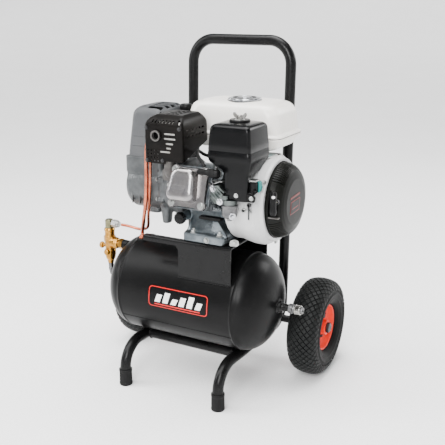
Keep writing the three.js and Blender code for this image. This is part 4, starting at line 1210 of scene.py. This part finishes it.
def build_air_cleaner():
    x0, x1, y0, y1 = 150, 210, -136, -113
    low = span("air_cleaner_base")[0]
    nut_low, nut_high = span("wing_nut")
    cx, cy, _ = centre_of("wing_nut")
    outside = [(low.z, x0 + 3, x1 - 3, y0 + 2, y1, 5), (low.z + 4, x0, x1, y0, y1, 6),
               (612, x0, x1, y0, y1, 6)]
    hollow = loft([(low.z + 4, x0 + 3, x1 - 3, y0 + 3, y1 - 3, 5),
                   (611, x0 + 3, x1 - 3, y0 + 3, y1 - 3, 5)], 5)
    tray = loft([(594, 149, 211, y0 + 0.2, -70, 6), (604, 140, 213, y0, -56, 7),
                 (616, 114, 215, y0, -36, 7), (620, 110.4, 216, y0, -32, 7),
                 (625.7, 109.6, 216.4, y0 - 0.4, -31, 7)], 6)
    piece("cleaner_base", loft(outside, 6), "gloss_black", stands_for="air_cleaner_base", add=[tray],
          cuts=[hollow], bevel=0.8)
    piece("cleaner_stud", rod("z", 3, 690, nut_high.z - 6, (cx, cy, 0), 24), "zinc")

    lower = [(626, 108.4, 216.8, -136.8, -30.4, 7.6), (627.2, 108, 217, -137, -30, 8),
             (641, 108.8, 216, -136.4, -30.6, 8), (642, 109.6, 215.4, -135.8, -31.2, 7.6),
             (643.4, 109.6, 215.4, -135.8, -31.2, 7.6), (644.4, 109, 215.8, -136.2, -30.8, 8)]
    upper = [(660, 110.2, 214.8, -135.4, -31.4, 8), (680, 111.8, 213.2, -134, -32.4, 8),
             (690, 112.8, 212.2, -133.2, -33, 8), (695, 114.2, 210.8, -131.8, -34.4, 8.6),
             (698.6, 117, 208, -129, -37.2, 9), (700.6, 121, 204, -125, -41, 9.4),
             (701.8, 127, 198, -119, -47, 10), (702.6, 136, 189, -110, -56, 10)]
    outside = lower + eased(upper, 3)
    hollow = [(618, 111, 214, -134, -33, 6), (688, 115, 210, -131, -36, 6), (696, 119, 206, -127, -40, 7),
              (699.4, 127, 198, -119, -48, 8)]
    piece("cleaner_cover", loft(outside, 7), "gloss_black", stands_for="air_cleaner_cover",
          cuts=[loft(hollow, 6)], sharp=50)
    collar = softened([(4, 701.6), (24, 701.6), (24, 705.4), (22.6, 707), (15, 707), (13.4, 705.4),
                       (4, 705.4)], 0.8, 3, True)
    piece("cleaner_collar", lathe(collar, "z", (cx, cy, 0), 72, True), "satin_black")
    washer = soft_ring([(3.4, 705.5), (12, 705.5), (12, 707), (3.4, 707.2)], 0.3, 2, "z", (cx, cy, 0), 40)
    piece("cleaner_washer", washer, "zinc")
    base = nut_low.z
    hub = soft_ring([(3.4, base), (7, base), (6.4, base + 7), (5, base + 9), (3.4, base + 9)], 0.5, 2, "z",
                    (cx, cy, 0), 40)
    wing = softened([(4, base + 1.6), (9, base + 1.8), (14, base + 4.4), (17, base + 9.4),
                     (16.6, base + 14.4), (12.6, base + 15), (8.4, base + 10), (4, base + 7.6)], 2, 4,
                    True)
    wings = Shape()
    for s in (-1, 1):
        wings += prism([(s * p.x, p.y) for p in wing], -1.6, 1.6, "y").shifted(cx, cy, 0)
    piece("cleaner_nut_wings", hub + wings, "dark_chrome", "cleaner_nut", stands_for="wing_nut", bevel=0.6)
    screws = bolt((183, y0, 546.5), (0, -1, 0), 8, 4, 5.4) + bolt((219.6, y0 + 2, 543.6), (0, -1, 0), 8, 4,
                                                                  5.4)
    piece("cleaner_screws", screws, "zinc")
    lug = soft_plate([(206, 535), (226, 534), (228, 546), (222, 552), (206, 552)], 3, 3, y0 + 2, y0 + 8,
                     "y")
    piece("cleaner_lug", lug, "satin_black", bevel=0.6)


def build_controls():
    low, high = span("engine_switch_box")
    housing = slab(209, high.x - 1, 553, 577, 3, low.y, high.y, "y", steps=4)
    piece("switch_housing", housing, "gloss_black", stands_for="engine_switch_box", bevel=0.8)
    outline = softened([(204.6, 553), (205, 578), (211, 582.4), (227, 583), (228, 580), (213, 579.4),
                        (208.2, 575.6), (207.6, 553)], 1.6, 3, True)
    bracket = prism(outline, low.y - 2, high.y + 6, "y")
    piece("switch_bracket", bracket, "zinc", bevel=0.4)
    tab = soft_plate([(221, 555), (230, 553), (233, 566), (231, 578), (223, 581), (220, 570)], 3, 3, -113,
                     -104, "y")
    piece("switch_plate", tab, "teal_plastic", bevel=0.8)
    low, high = span("engine_switch_knob")
    x, _, z = centre_of("engine_switch_knob")
    knob = rod("y", 6, high.y - 5, high.y, (x, 0, z), 32) + slab(x - 2, x + 2, z - 6, z + 6, 1.6, low.y,
                                                                 high.y - 2, "y")
    piece("switch_knob", knob, "satin_black", "engine_switch", stands_for="engine_switch_knob", bevel=0.5,
          slot="switch_red")

    low, high = span("choke_lever")
    x, z = (low.x + high.x) / 2, high.z - 5
    arm = soft_plate([(x - 3, z + 3), (x + 3, z + 3), (x + 1.5, z - 12), (x + 1.6, low.z),
                      (x - 1.6, low.z), (x - 1.5, z - 12)], 1.2, 3, low.y, high.y - 3, "y")
    piece("choke_arm", arm + rod("y", 5, low.y, high.y, (x, 0, z), 28), "dark_steel_and_shade", "choke",
          stands_for="choke_lever", bevel=0.3)
    low, high = span("fuel_valve_lever")
    x, z = low.x + 5, (low.z + high.z) / 2
    arm = slab(x - 3, high.x, z - 2.5, z + 2.5, 2.4, low.y, high.y - 2, "y")
    piece("fuel_valve_arm", arm + rod("y", 5, low.y, high.y, (x, 0, z), 28), "zinc", "fuel_valve",
          stands_for="fuel_valve_lever", bevel=0.3)
    low, high = span("throttle_lever")
    x, y = (low.x + high.x) / 2, high.y - 6
    arm = slab(x - 3, x + 3, low.y, y, 2.8, low.z + 0.6, low.z + 2.8)
    piece("throttle_arm", arm + rod("z", 6, low.z, high.z, (x, y, 0), 32), "zinc", "throttle",
          stands_for="throttle_lever", bevel=0.3)


def eased(sections, steps=3):
    """More sections along smooth curves through the given ones."""
    made = []
    last = len(sections) - 1
    for i in range(last):
        a, b, c, d = (sections[max(0, min(last, i + k))] for k in (-1, 0, 1, 2))
        for step in range(steps):
            t = step / steps
            made.append(tuple(0.5 * (2 * q + (r - p) * t + (2 * p - 5 * q + 4 * r - s) * t ** 2
                                     + (3 * q - p - 3 * r + s) * t ** 3) for p, q, r,
                              s in zip(a, b, c, d)))
    return [*made, sections[-1]]


def build_fuel_tank():
    seam = 652

    def level(z, inset, radius):
        return z, -34 + inset, 222 - inset, -2 + inset, 162 - inset, radius

    low, high = span("fuel_tank_lower")
    lower = [(low.z, 14, 182, 26, 128, 18), (low.z + 2.6, 4, 192, 18, 136, 22),
             (low.z + 7, -14, 203, 9, 147, 24), (632, -20, 208, 6, 152, 25), (647, -26, 213, 3, 156, 26)]
    rim = loft([level(647, 0.6, 27.4), level(648, 0, 28), level(651, 0, 28)], 10)
    piece("fuel_tank_bottom", loft(eased(lower), 8), "white_paint", stands_for="fuel_tank_lower",
          add=[rim], bevel=0.6)
    # A black strip inset under the upper half's flange: painted shadow in the seam's gap.
    joint = loft([level(seam - 1.4, 1.6, 27), level(seam + 0.6, 1.6, 27)], 10)
    piece("fuel_tank_seam_shadow", joint, "gasket_and_shadow_black")
    skirt = [level(seam + 0.6, 0.4, 27.6), level(seam + 1.4, 0, 28), level(656.4, 0, 28),
             level(657.6, 1, 27.4), (659, -29.4, 216.6, 3, 157, 26)]
    dome = [(662, -28.6, 215.4, 4.4, 155.6, 26), (676, -29, 214.2, 5, 155.4, 27),
            (692, -29, 212.6, 6, 154.6, 28), (705, -28.4, 211, 7, 154, 29),
            (713, -26.6, 207.6, 8.4, 152.6, 31), (720, -23.6, 203, 10.6, 150.6, 33),
            (725.4, -17, 196.6, 15, 146.4, 34), (729, -7, 187, 23, 139, 34), (731.4, 8, 173, 35, 127, 31),
            (732, 24, 160, 46, 116, 26)]
    piece("fuel_tank_top", loft(skirt + eased(dome, 4), 12), "white_paint", stands_for="fuel_tank_upper",
          sharp=50)

    low, high = span("fuel_cap")
    x, y, _ = centre_of("fuel_cap")
    rim = (high.x - low.x) / 2
    high.z -= 7
    # A dark ring round the cap's foot: the steel neck, darkened as painted shade of the recess.
    neck = softened([(rim - 4, 731), (rim + 1.4, 731), (rim + 1.4, 732.5), (rim - 4, 732.5)], 0.3, 2, True)
    piece("filler_neck_shade", lathe(neck, "z", (x, y, 0), 64, True), "dark_steel_and_shade", slot="steel")
    profile = [(0, low.z - 4), (21, low.z - 4), (21.5, high.z - 12.6), (rim - 2, high.z - 12.6),
               (rim, high.z - 11.4), (rim, high.z - 3.4), (rim - 2, high.z - 1.6),
               (rim - 10, high.z - 0.9), (rim - 12, high.z - 2.1), (rim - 22, high.z - 1.5),
               (rim - 24, high.z - 0.3), (0, high.z)]
    cap = lathe(softened(profile, 0.8, 3), "z", (x, y, 0), 144)
    cap = fluted(cap, (x, y, 0), 2, rim - 3, lambda angle,
                 corner: 2.6 * max(0, math.cos(9 * angle)) ** 0.5 if corner.z < high.z - 1.8 else 0)
    piece("fuel_cap_body", cap, "cap_chrome", "fuel_cap_body", stands_for="fuel_cap", sharp=50)
    # A dark ring on the chrome cap's top: painted shade in the groove.
    groove_shade = lathe([(rim - 21.4, high.z - 1.3), (rim - 12.6, high.z - 1.9), (rim - 12.6, high.z - 2.6),
                    (rim - 21.4, high.z - 2.4)], "z", (x, y, 0), 96, True)
    piece("fuel_cap_groove_shade", groove_shade, "dark_steel_and_shade", "fuel_cap_body", slot="chrome")


def build_fan_cover():
    low, high = span("fan_cover")
    front = high.x
    outer = [(22, low.x), (96, low.x), (99.5, low.x + 1.2), (104, low.x + 6), (104, 157), (106, 164),
             (110.4, 186), (111, 193), (110.6, 206), (109.4, 212), (105, 219), (100.6, 224.4), (99.4, 229),
             (99.4, front - 0.8), (98, front), (92, front)]
    inner = [(91, front - 2), (94, 225), (101, 218), (107, 206), (108, 192), (103, 170), (101, 157),
             (101, 138), (95, low.x + 3), (22, low.x + 3)]
    shape = lathe([*[(p.x, p.y) for p in softened(outer, 2.2, 4)], *inner], "x", (0, 0, CRANK_Z), 128,
                  True)
    top = CRANK_Z + 101.6
    flat = box(low.x - 5, front + 5, -62, 62, top, top + 20)
    deck = slab(134, 216, -44, 44, 8, top - 3.2, top)
    slot = slab(146, 204, -50.5, -47, 1.5, top - 14, top + 5, steps=3)
    mouth = box(118, 136.5, -60, 60, CRANK_Z - 110, CRANK_Z - 60)
    piece("fan_shroud", shape, "cover_white", stands_for="fan_cover", cuts=[flat, slot, mouth], bevel=0.7)
    piece("fan_deck", deck, "cover_white", bevel=0.8)
    piece("fan_panel", slab(140, 206, -41, 30, 6, top, top + 0.9), "panel_blue", bevel=0.4)
    # A black slab in the deck's slot: painted shade for the opening.
    piece("fan_slot_shade", slab(145, 205, -51, -46.5, 1.5, top - 6, top - 1.5, steps=3), "soot_and_shade_black")
    bolts = Shape()
    for angle in (25, 145, 262):
        bolts += bolt(round_crank(front - 5.4, FAN_CIRCLE, angle), (1, 0, 0), 8, 4.6, 6)
    piece("fan_bolts", bolts, "zinc")


def build_recoil():
    low, high = span("recoil_housing")
    back, face = low.x, high.x
    outer = [(0, face), (54, face), (56, face - 0.4), (66, face - 2.6), (73, face - 5.4), (78, face - 9.4),
             (82.4, face - 14), (86, face - 20), (88.4, face - 26), (90, face - 32), (90, back),
             (87, back), (87, back + 7), (84.6, back + 15), (78, face - 16.6), (70, face - 8.6),
             (56, face - 3.4), (0, face - 3.4)]
    shape = lathe(softened(outer, 1.4, 3), "x", (0, 0, CRANK_Z), 144)
    grip_low, grip_high = span("starter_grip")
    grip_x, _, grip_z = centre_of("starter_grip")
    slots = Shape()
    quarter = Matrix(((1, 0, 0, 0), (0, 0, -1, 0), (0, 1, 0, 0), (0, 0, 0, 1)))
    for start, way, count in ((42, 1, 28), (-26, -1, 28)):
        for i in range(count):
            radial = Matrix.Translation((0, 0, CRANK_Z)) @ Matrix.Rotation(-math.radians(start + way * i
                                                                                         * 4.1), 4, "X")
            slots += slab(back + 5, face - 6, -1.2, 1.2, 1.1, 60, 96, steps=3).moved(radial @ quarter)
    pocket = slab(-110, -79, 493, 571, 6, 239, 267, "x")
    piece("recoil_cover", shape, "recoil_black", stands_for="recoil_housing", cuts=[slots, pocket],
          bevel=0.4, segments=1, sharp=45)
    lining = lathe([(0, 237), (88.4, 237), (86, face - 25), (80, face - 13.4), (72, face - 6.6),
                    (0, face - 6.6)], "x", (0, 0, CRANK_Z), 96)
    opening = slab(-110, -79, 493.4, 570.6, 5, 239.4, 265, "x")
    piece("recoil_pocket", lining, "satin_black", cuts=[box(200, 300, -76, 120, 400, 640),
                                                        box(200, 300, -120, -70, 400, 491),
                                                        box(200, 300, -120, -70, 573, 640), opening])
    # A grey metal strip at the pocket's floor, on black plastic: a painted highlight.
    highlight_shelf = slab(240, 266, 489.6, 492.6, 1.2, -89.4, -80, "y")
    piece("recoil_shelf_highlight", highlight_shelf, "exhaust_and_highlight_grey", bevel=0.5, slot="gloss_black")
    badge = soft_plate([(-34, 486), (20, 489), (24, 519), (-30, 517)], 3, 3, face, face + 0.5, "x")
    piece("recoil_badge", badge, "badge_red")
    inner = soft_plate([(-31.4, 488.6), (17.4, 491.4), (21, 516.6), (-27.6, 514.6)], 2, 3, face + 0.4,
                       face + 0.8, "x")
    piece("recoil_badge_field", inner, "satin_black")
    stripe = soft_plate([(-33, 523), (22, 526.4), (22, 531), (-33, 527.6)], 1, 2, face, face + 0.6, "x")
    stripe += prism([(-24, 497), (12, 499.4), (12.6, 502), (-23.4, 499.6)], face + 0.7, face + 1.1, "x")
    piece("recoil_badge_stripe", stripe, "badge_red")

    levels = ((grip_low.z, 4.6, 4, 4, 3.6), (grip_low.z + 2, 6.4, 2, 2.4, 5),
              (grip_low.z + 8, 7.8, 0.2, 0.4, 6.4), (grip_z - 12, 6.6, 1, 1, 6),
              (grip_z + 8, 6.6, 1, 1, 6), (grip_high.z - 8, 7.8, 0.2, 0.4, 6.4),
              (grip_high.z - 2, 6.4, 2, 2.4, 5), (grip_high.z, 4.6, 4, 4, 3.6))
    grip = loft([(z, grip_x - half, grip_x + half, grip_low.y + front, grip_high.y - behind, radius) for z,
                 half, front, behind, radius in levels], 7)
    piece("starter_handle", grip, "satin_black", "starter", stands_for="starter_grip", sharp=60)
    # A white plate on the grip: a painted glint of its metal pin.
    glint_pin = slab(grip_x - 0.6, grip_x + 6.6, 541.6, 548, 2.8, grip_low.y - 0.6, grip_low.y + 3, "y")
    piece("starter_pin_glint", glint_pin, "print_and_glint_white", "starter", bevel=0.6, slot="chrome")
    hole = soft_ring([(3.4, -84.4), (6.4, -84.4), (6.4, -77), (3.4, -77)], 0.8, 3, "y",
                     (grip_x, 0, grip_z), 40)
    piece("rope_guide", hole, "dark_steel_and_shade")
    strand = [Vector((grip_x, y, grip_z)) for y in [-70 - 0.5 * i for i in range(51)]]
    radii = [2.1 + 0.25 * math.sin(i * 1.3) for i in range(51)]
    rope = piece("starter_rope", sweep(strand, radii, 14), "rope_cream", body=None, sharp=180)
    start, end = (TO_METRES @ Vector((grip_x, y, grip_z)) for y in (-80, -92))
    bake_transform(rope)


# ---------------------------------------------------------------- pump
def build_pump():
    low, high = span("pump_crankcase")
    axis = (0, 0, CRANK_Z)
    body = lathe([(0, low.x), (44, low.x), (56, low.x + 4), (62, low.x + 15), (63, -70), (67, -64),
                  (67, -58), (64, -54), (74, -20), (78, -13), (78, 1), (64, 4), (62, high.x), (0, high.x)],
                 "x", axis, 72)
    block = loft([(CRANK_Z, -176, -66, -56, 72, 16), (CRANK_Z + 36, -174.5, -66, -53, 72, 12),
                  (CRANK_Z + 36.5, -176, -64, -55, 74, 13), (high.z, -176, -64, -55, 74, 13)], 5)
    foot = loft([(low.z, -74, -54, -46, -22, 9), (CRANK_Z - 40, -78, -50, -50, -18, 10)], 5)
    sump = loft([(CRANK_Z - 69, -132, -92, -30, 32, 10), (CRANK_Z - 66, -135, -89, -33, 35, 12),
                 (CRANK_Z - 30, -144, -84, -38, 38, 14)], 5)
    extra = Shape()
    for angle in range(20, 380, 45):
        extra += rod("x", 6.5, -74, -54, round_crank(0, PUMP_CIRCLE, angle), 24)
    for x in (-150, -128, -106):
        extra += prism([(-64, CRANK_Z - 42), (-55, CRANK_Z - 42), (-55, CRANK_Z + 30),
                        (-59, CRANK_Z + 30)], x - 1.6, x + 1.6, "x")
    extra += slab(-40, -14, CRANK_Z - 6, CRANK_Z + 30, 6, -79, -60, "y")
    top_cut = box(-190, -60, -90, 90, high.z, high.z + 60)
    piece("pump_body", body, "pump_cast", stands_for="pump_crankcase", add=[block, foot, sump, extra],
          cuts=[top_cut], melt=1.9)
    bolts = Shape()
    for angle in range(20, 380, 45):
        bolts += bolt(round_crank(-74, PUMP_CIRCLE, angle), (-1, 0, 0), 8, 4.6, 6)
    bolts += bolt((-27, -79, CRANK_Z + 22), (0, -1, 0), 9, 5, 6.6) + bolt((-27, -79, CRANK_Z + 2),
                                                                          (0, -1, 0), 9, 5, 6.6)
    piece("pump_bolts", bolts, "zinc")
    glass = lathe(softened([(0, low.x - 0.6), (9, low.x - 0.6), (9, low.x - 3), (13, low.x - 3),
                            (13, low.x + 2), (0, low.x + 2)], 0.6, 2), "x", (0, -8, CRANK_Z - 26), 40)
    piece("pump_oil_window", glass, "brass")

    low, high = span("pump_shroud")
    outside = [(low.z, -174, -66, -52, 72, 10), (low.z + 3, -174, -66, -52, 72, 10),
               (low.z + 3.6, -172.6, -66.6, -51.4, 71.4, 10), (622, -163.6, -66, -51.6, 71.6, 12),
               (688, -154.6, -66, -50.4, 70.4, 14), (697, -153, -66, -50, 70, 14.6),
               (702.6, -151, -67, -48.4, 68.4, 15.4), (707.6, -147.6, -68.8, -45, 65, 16),
               (711.4, -143, -71.6, -40.6, 61.6, 15.6), (high.z, -135.6, -76.4, -34, 57, 14)]
    holes = Shape()
    for z in (564, 588, 617, 641):
        left = -168 + (z - low.z) * 0.13
        for i in range(15):
            x = left + 7 + i * 6.1
            holes += box(x - 1.3, x + 1.3, -60, -50.4, z - 1.5, z + 1.5)
            y = -42 + i * 7.2
            holes += box(-190, left + 4.4, y - 1.3, y + 1.3, z - 1.5, z + 1.5)
    for x0, x1, y0, y1 in ((-110, -72, -41, -22), (-116, -70, -17, 3), (-121, -70, 8, 29),
                           (-124, -72, 34, 56)):
        holes += slab(x0, x1, y0, y1, 2, 694, high.z + 10, steps=3)
    piece("pump_cowl", loft(outside, 7), "pump_grey", stands_for="pump_shroud",
          cuts=[loft(shrunk([outside[0], outside[3], *outside[4:]], 2.6, -2.6), 5), holes], bevel=0.5,
          segments=1, sharp=45)
    # A black slab under the cowl's top slots: painted shade inside the cowl.
    inner = box(-128, -70, -44, 62, 700, 704)
    piece("pump_slot_shade", inner, "soot_and_shade_black")
    screws = bolt((-160, -51.5, 560), (0, -1, 0), 7, 3.4, 5) + bolt((-76, -51.5, 560), (0, -1, 0), 7, 3.4,
                                                                    5)
    piece("cowl_screws", screws, "dark_steel_and_shade", slot="pump_casting")

    low, high = span("intake_filter")
    radius = (high.y - low.y) / 2
    x, y = high.x - radius, (low.y + high.y) / 2
    profile = [(0, low.z), (radius - 3, low.z), (radius, low.z + 4)]
    profile += [(radius if i % 2 else radius - 0.9, low.z + 6 + i * 2.4) for i in range(12)]
    profile += [(radius, high.z - 6), (radius - 1.4, high.z - 1.6), (radius - 4.6, high.z), (0, high.z)]
    can = lathe(softened(profile, 0.7, 2), "z", (x, y, 0), 64)
    piece("intake_cup", can + rod("x", 7, low.x, x, (0, y, low.z + 12), 32), "satin_black",
          stands_for="intake_filter")


def flare_nut(at, direction, across, length):
    """A hexagon nut on a pipe with a round shoulder."""
    shape = prism(disc(across / math.sqrt(3), 6), 0, length * 0.72)
    shape += rod("z", across * 0.44, length * 0.6, length, steps=28, chamfer=0.8)
    return shape.moved(aimed(direction, at))


DELIVERY = [(-93, -52.4, 640), (-93, -68, 638), (-93, -76, 620), (-95, -76, 590), (-97.5, -75, 530),
            (-102, -74, 480), (-112, -68, 440), (-130, -48, 405), (-150, -22, 385), (-150, -22, 365.5)]
PILOT = [(-85, -52.8, 612), (-85, -64, 610), (-85, -71, 596), (-87, -73, 545), (-91, -71, 508),
         (-99, -63, 474), (-111, -50, 440), (-124, -32, 410), (-142, -14, 392), (-168, -8, 384),
         (-198, -16, 390), (-218.6, -20, 392)]


def build_pipes():
    piece("delivery_tube", sweep(curve(DELIVERY, 10), 4.7, 24), "copper", stands_for="delivery_pipe")
    piece("pilot_tube", sweep(curve(PILOT, 8), 3.8, 20), "copper", stands_for="pilot_pipe")
    nuts = flare_nut((-93, -53.4, 640), (0, -1, 0), 17, 15)
    nuts += flare_nut((-85, -52.9, 612), (0, -1, 0), 14, 11)
    piece("pipe_nuts", nuts, "brass")
    foot = flare_nut((-150, -22, 366), (0, 0, 1), 17, 9)
    piece("tank_pipe_nut", foot, "copper")
    bung = rod("z", 15, 352, 366.5, (-150, -22, 0), 40, 1.5)
    piece("tank_bung", bung, "tank_black")


def build_valve():
    low, high = span("pilot_valve_body")
    x, y, port_z, elbow_z = -258, -20, 338, 392
    base = low.z
    profile = softened([(0, base), (7.6, base), (8.6, base + 3), (9, base + 8), (12, base + 12),
                        (13.4, base + 18), (15, base + 25), (15, base + 37), (13.6, base + 39),
                        (13.6, base + 58), (15, base + 60), (15, base + 76), (13.4, base + 78),
                        (13.4, base + 90), (14.6, base + 91.6), (14.6, base + 95), (12.6, high.z),
                        (0, high.z)], 0.8, 3)
    shape = lathe(profile, "z", (x, y, 0), 64)
    collars = prism(disc(16.4, 6, 0.5), base + 61, base + 75).shifted(x, y)
    lobe = lathe(softened([(0, 0), (13, 2), (16, 8), (16, 21), (13, 29), (9.4, 31), (9.4, 40), (0, 40)], 2,
                          3), "x", (x, y, port_z), 56)
    lobe += prism(disc(14.4, 6, 0.3), 34, 45, "x").shifted(x, y, port_z)
    cap = rod("y", 8, y - 21, y, (x, 0, base + 33), 36, 1.6)
    piece("valve_body", shape, "brass", stands_for="pilot_valve_body", add=[collars, lobe, cap], bevel=0.5)
    piece("valve_boss", rod("x", 13, 45, 72, (x, y, port_z), 40, 1.2), "tank_black")
    low, high = span("pilot_elbow")
    block = prism(disc(12.2, 6, 0.3), low.z, high.z - 3).shifted(x, y) + rod("z", 9.6, high.z - 5, high.z,
                                                                             (x, y, 0), 32)
    piece("valve_elbow", block, "elbow_olive", stands_for="pilot_elbow")
    nut = rod("x", 7, 0, 14, (x, y, elbow_z), 28) + flare_nut((x + 12, y, elbow_z), (1, 0, 0), 19, 20)
    piece("valve_nut", nut, "zinc")
    low, high = span("relief_spout")
    spout = softened([(1.6, low.z + 1), (3.8, low.z), (5, low.z + 8), (6.8, low.z + 16), (6.8, low.z + 20),
                      (5.8, low.z + 22), (6.8, low.z + 24), (7, high.z - 4), (7.4, high.z), (1.6, high.z)],
                     0.7, 3, True)
    piece("valve_spout", lathe(spout, "z", (x, y, 0), 36, True), "bowl_zinc", stands_for="relief_spout")
    low, high = span("unloader_knob")
    z = (low.z + high.z) / 2
    knob = softened([(0, low.x), (8, low.x), (9, low.x + 1), (9, low.x + 6), (7.6, low.x + 8),
                     (4, low.x + 9), (4, high.x), (0, high.x)], 0.7, 3)
    shape = lathe(knob, "x", (0, y, z), 60)
    shape = fluted(shape, (0, y, z), 0, 8, lambda angle, corner: 0.35 + 0.35 * math.cos(15 * angle))
    piece("valve_knob", shape, "brass", "unloader", stands_for="unloader_knob")


def finish_inner_parts():
    """The CAD parts that stay show only through slots and gaps; each gets its own finish."""
    for node, finish in (("crankshaft", "turned_steel"), ("flywheel_fan", "cast_aluminium"),
                         ("piston", "cast_aluminium"), ("air_cleaner_element", "foam_grey"),
                         ("pump_head", "pump_cast")):
        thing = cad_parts[node]
        thing.data.materials.clear()
        thing.data.materials.append(LOOKS[finish].material)


FLOOR_GAP = 0.0005


def build_floor():
    """A pale floor that sweeps up to a wall far behind."""
    outline = [(0, 0), (4, 0), (9, 0), (13, 0.15), (16, 0.9), (18, 2.4), (19, 5), (19.4, 9)]
    steps = 64
    corners, faces = [], []
    for radius, height in outline:
        for i in range(steps):
            a = 2 * math.pi * i / steps
            corners.append((radius * math.cos(a), radius * math.sin(a), height - FLOOR_GAP))
    for ring in range(len(outline) - 1):
        for i in range(steps):
            j = (i + 1) % steps
            faces.append((ring * steps + i, (ring + 1) * steps + i, (ring + 1) * steps + j,
                          ring * steps + j))
    mesh = bpy.data.meshes.new("floor")
    mesh.from_pydata(corners, [], faces)
    mesh.shade_smooth()
    floor = bpy.data.objects.new("floor", mesh)
    floor.data.materials.append(LOOKS["floor_grey"].material)
    bpy.context.scene.collection.objects.link(floor)


for build in (build_frame, build_wheels, build_tank, build_decal, build_saddle, build_block, build_head,
              build_muffler, build_carburettor, build_air_cleaner, build_controls, build_fuel_tank,
              build_fan_cover, build_recoil, build_pump, build_pipes, build_valve, finish_inner_parts,
              build_floor):
    build()
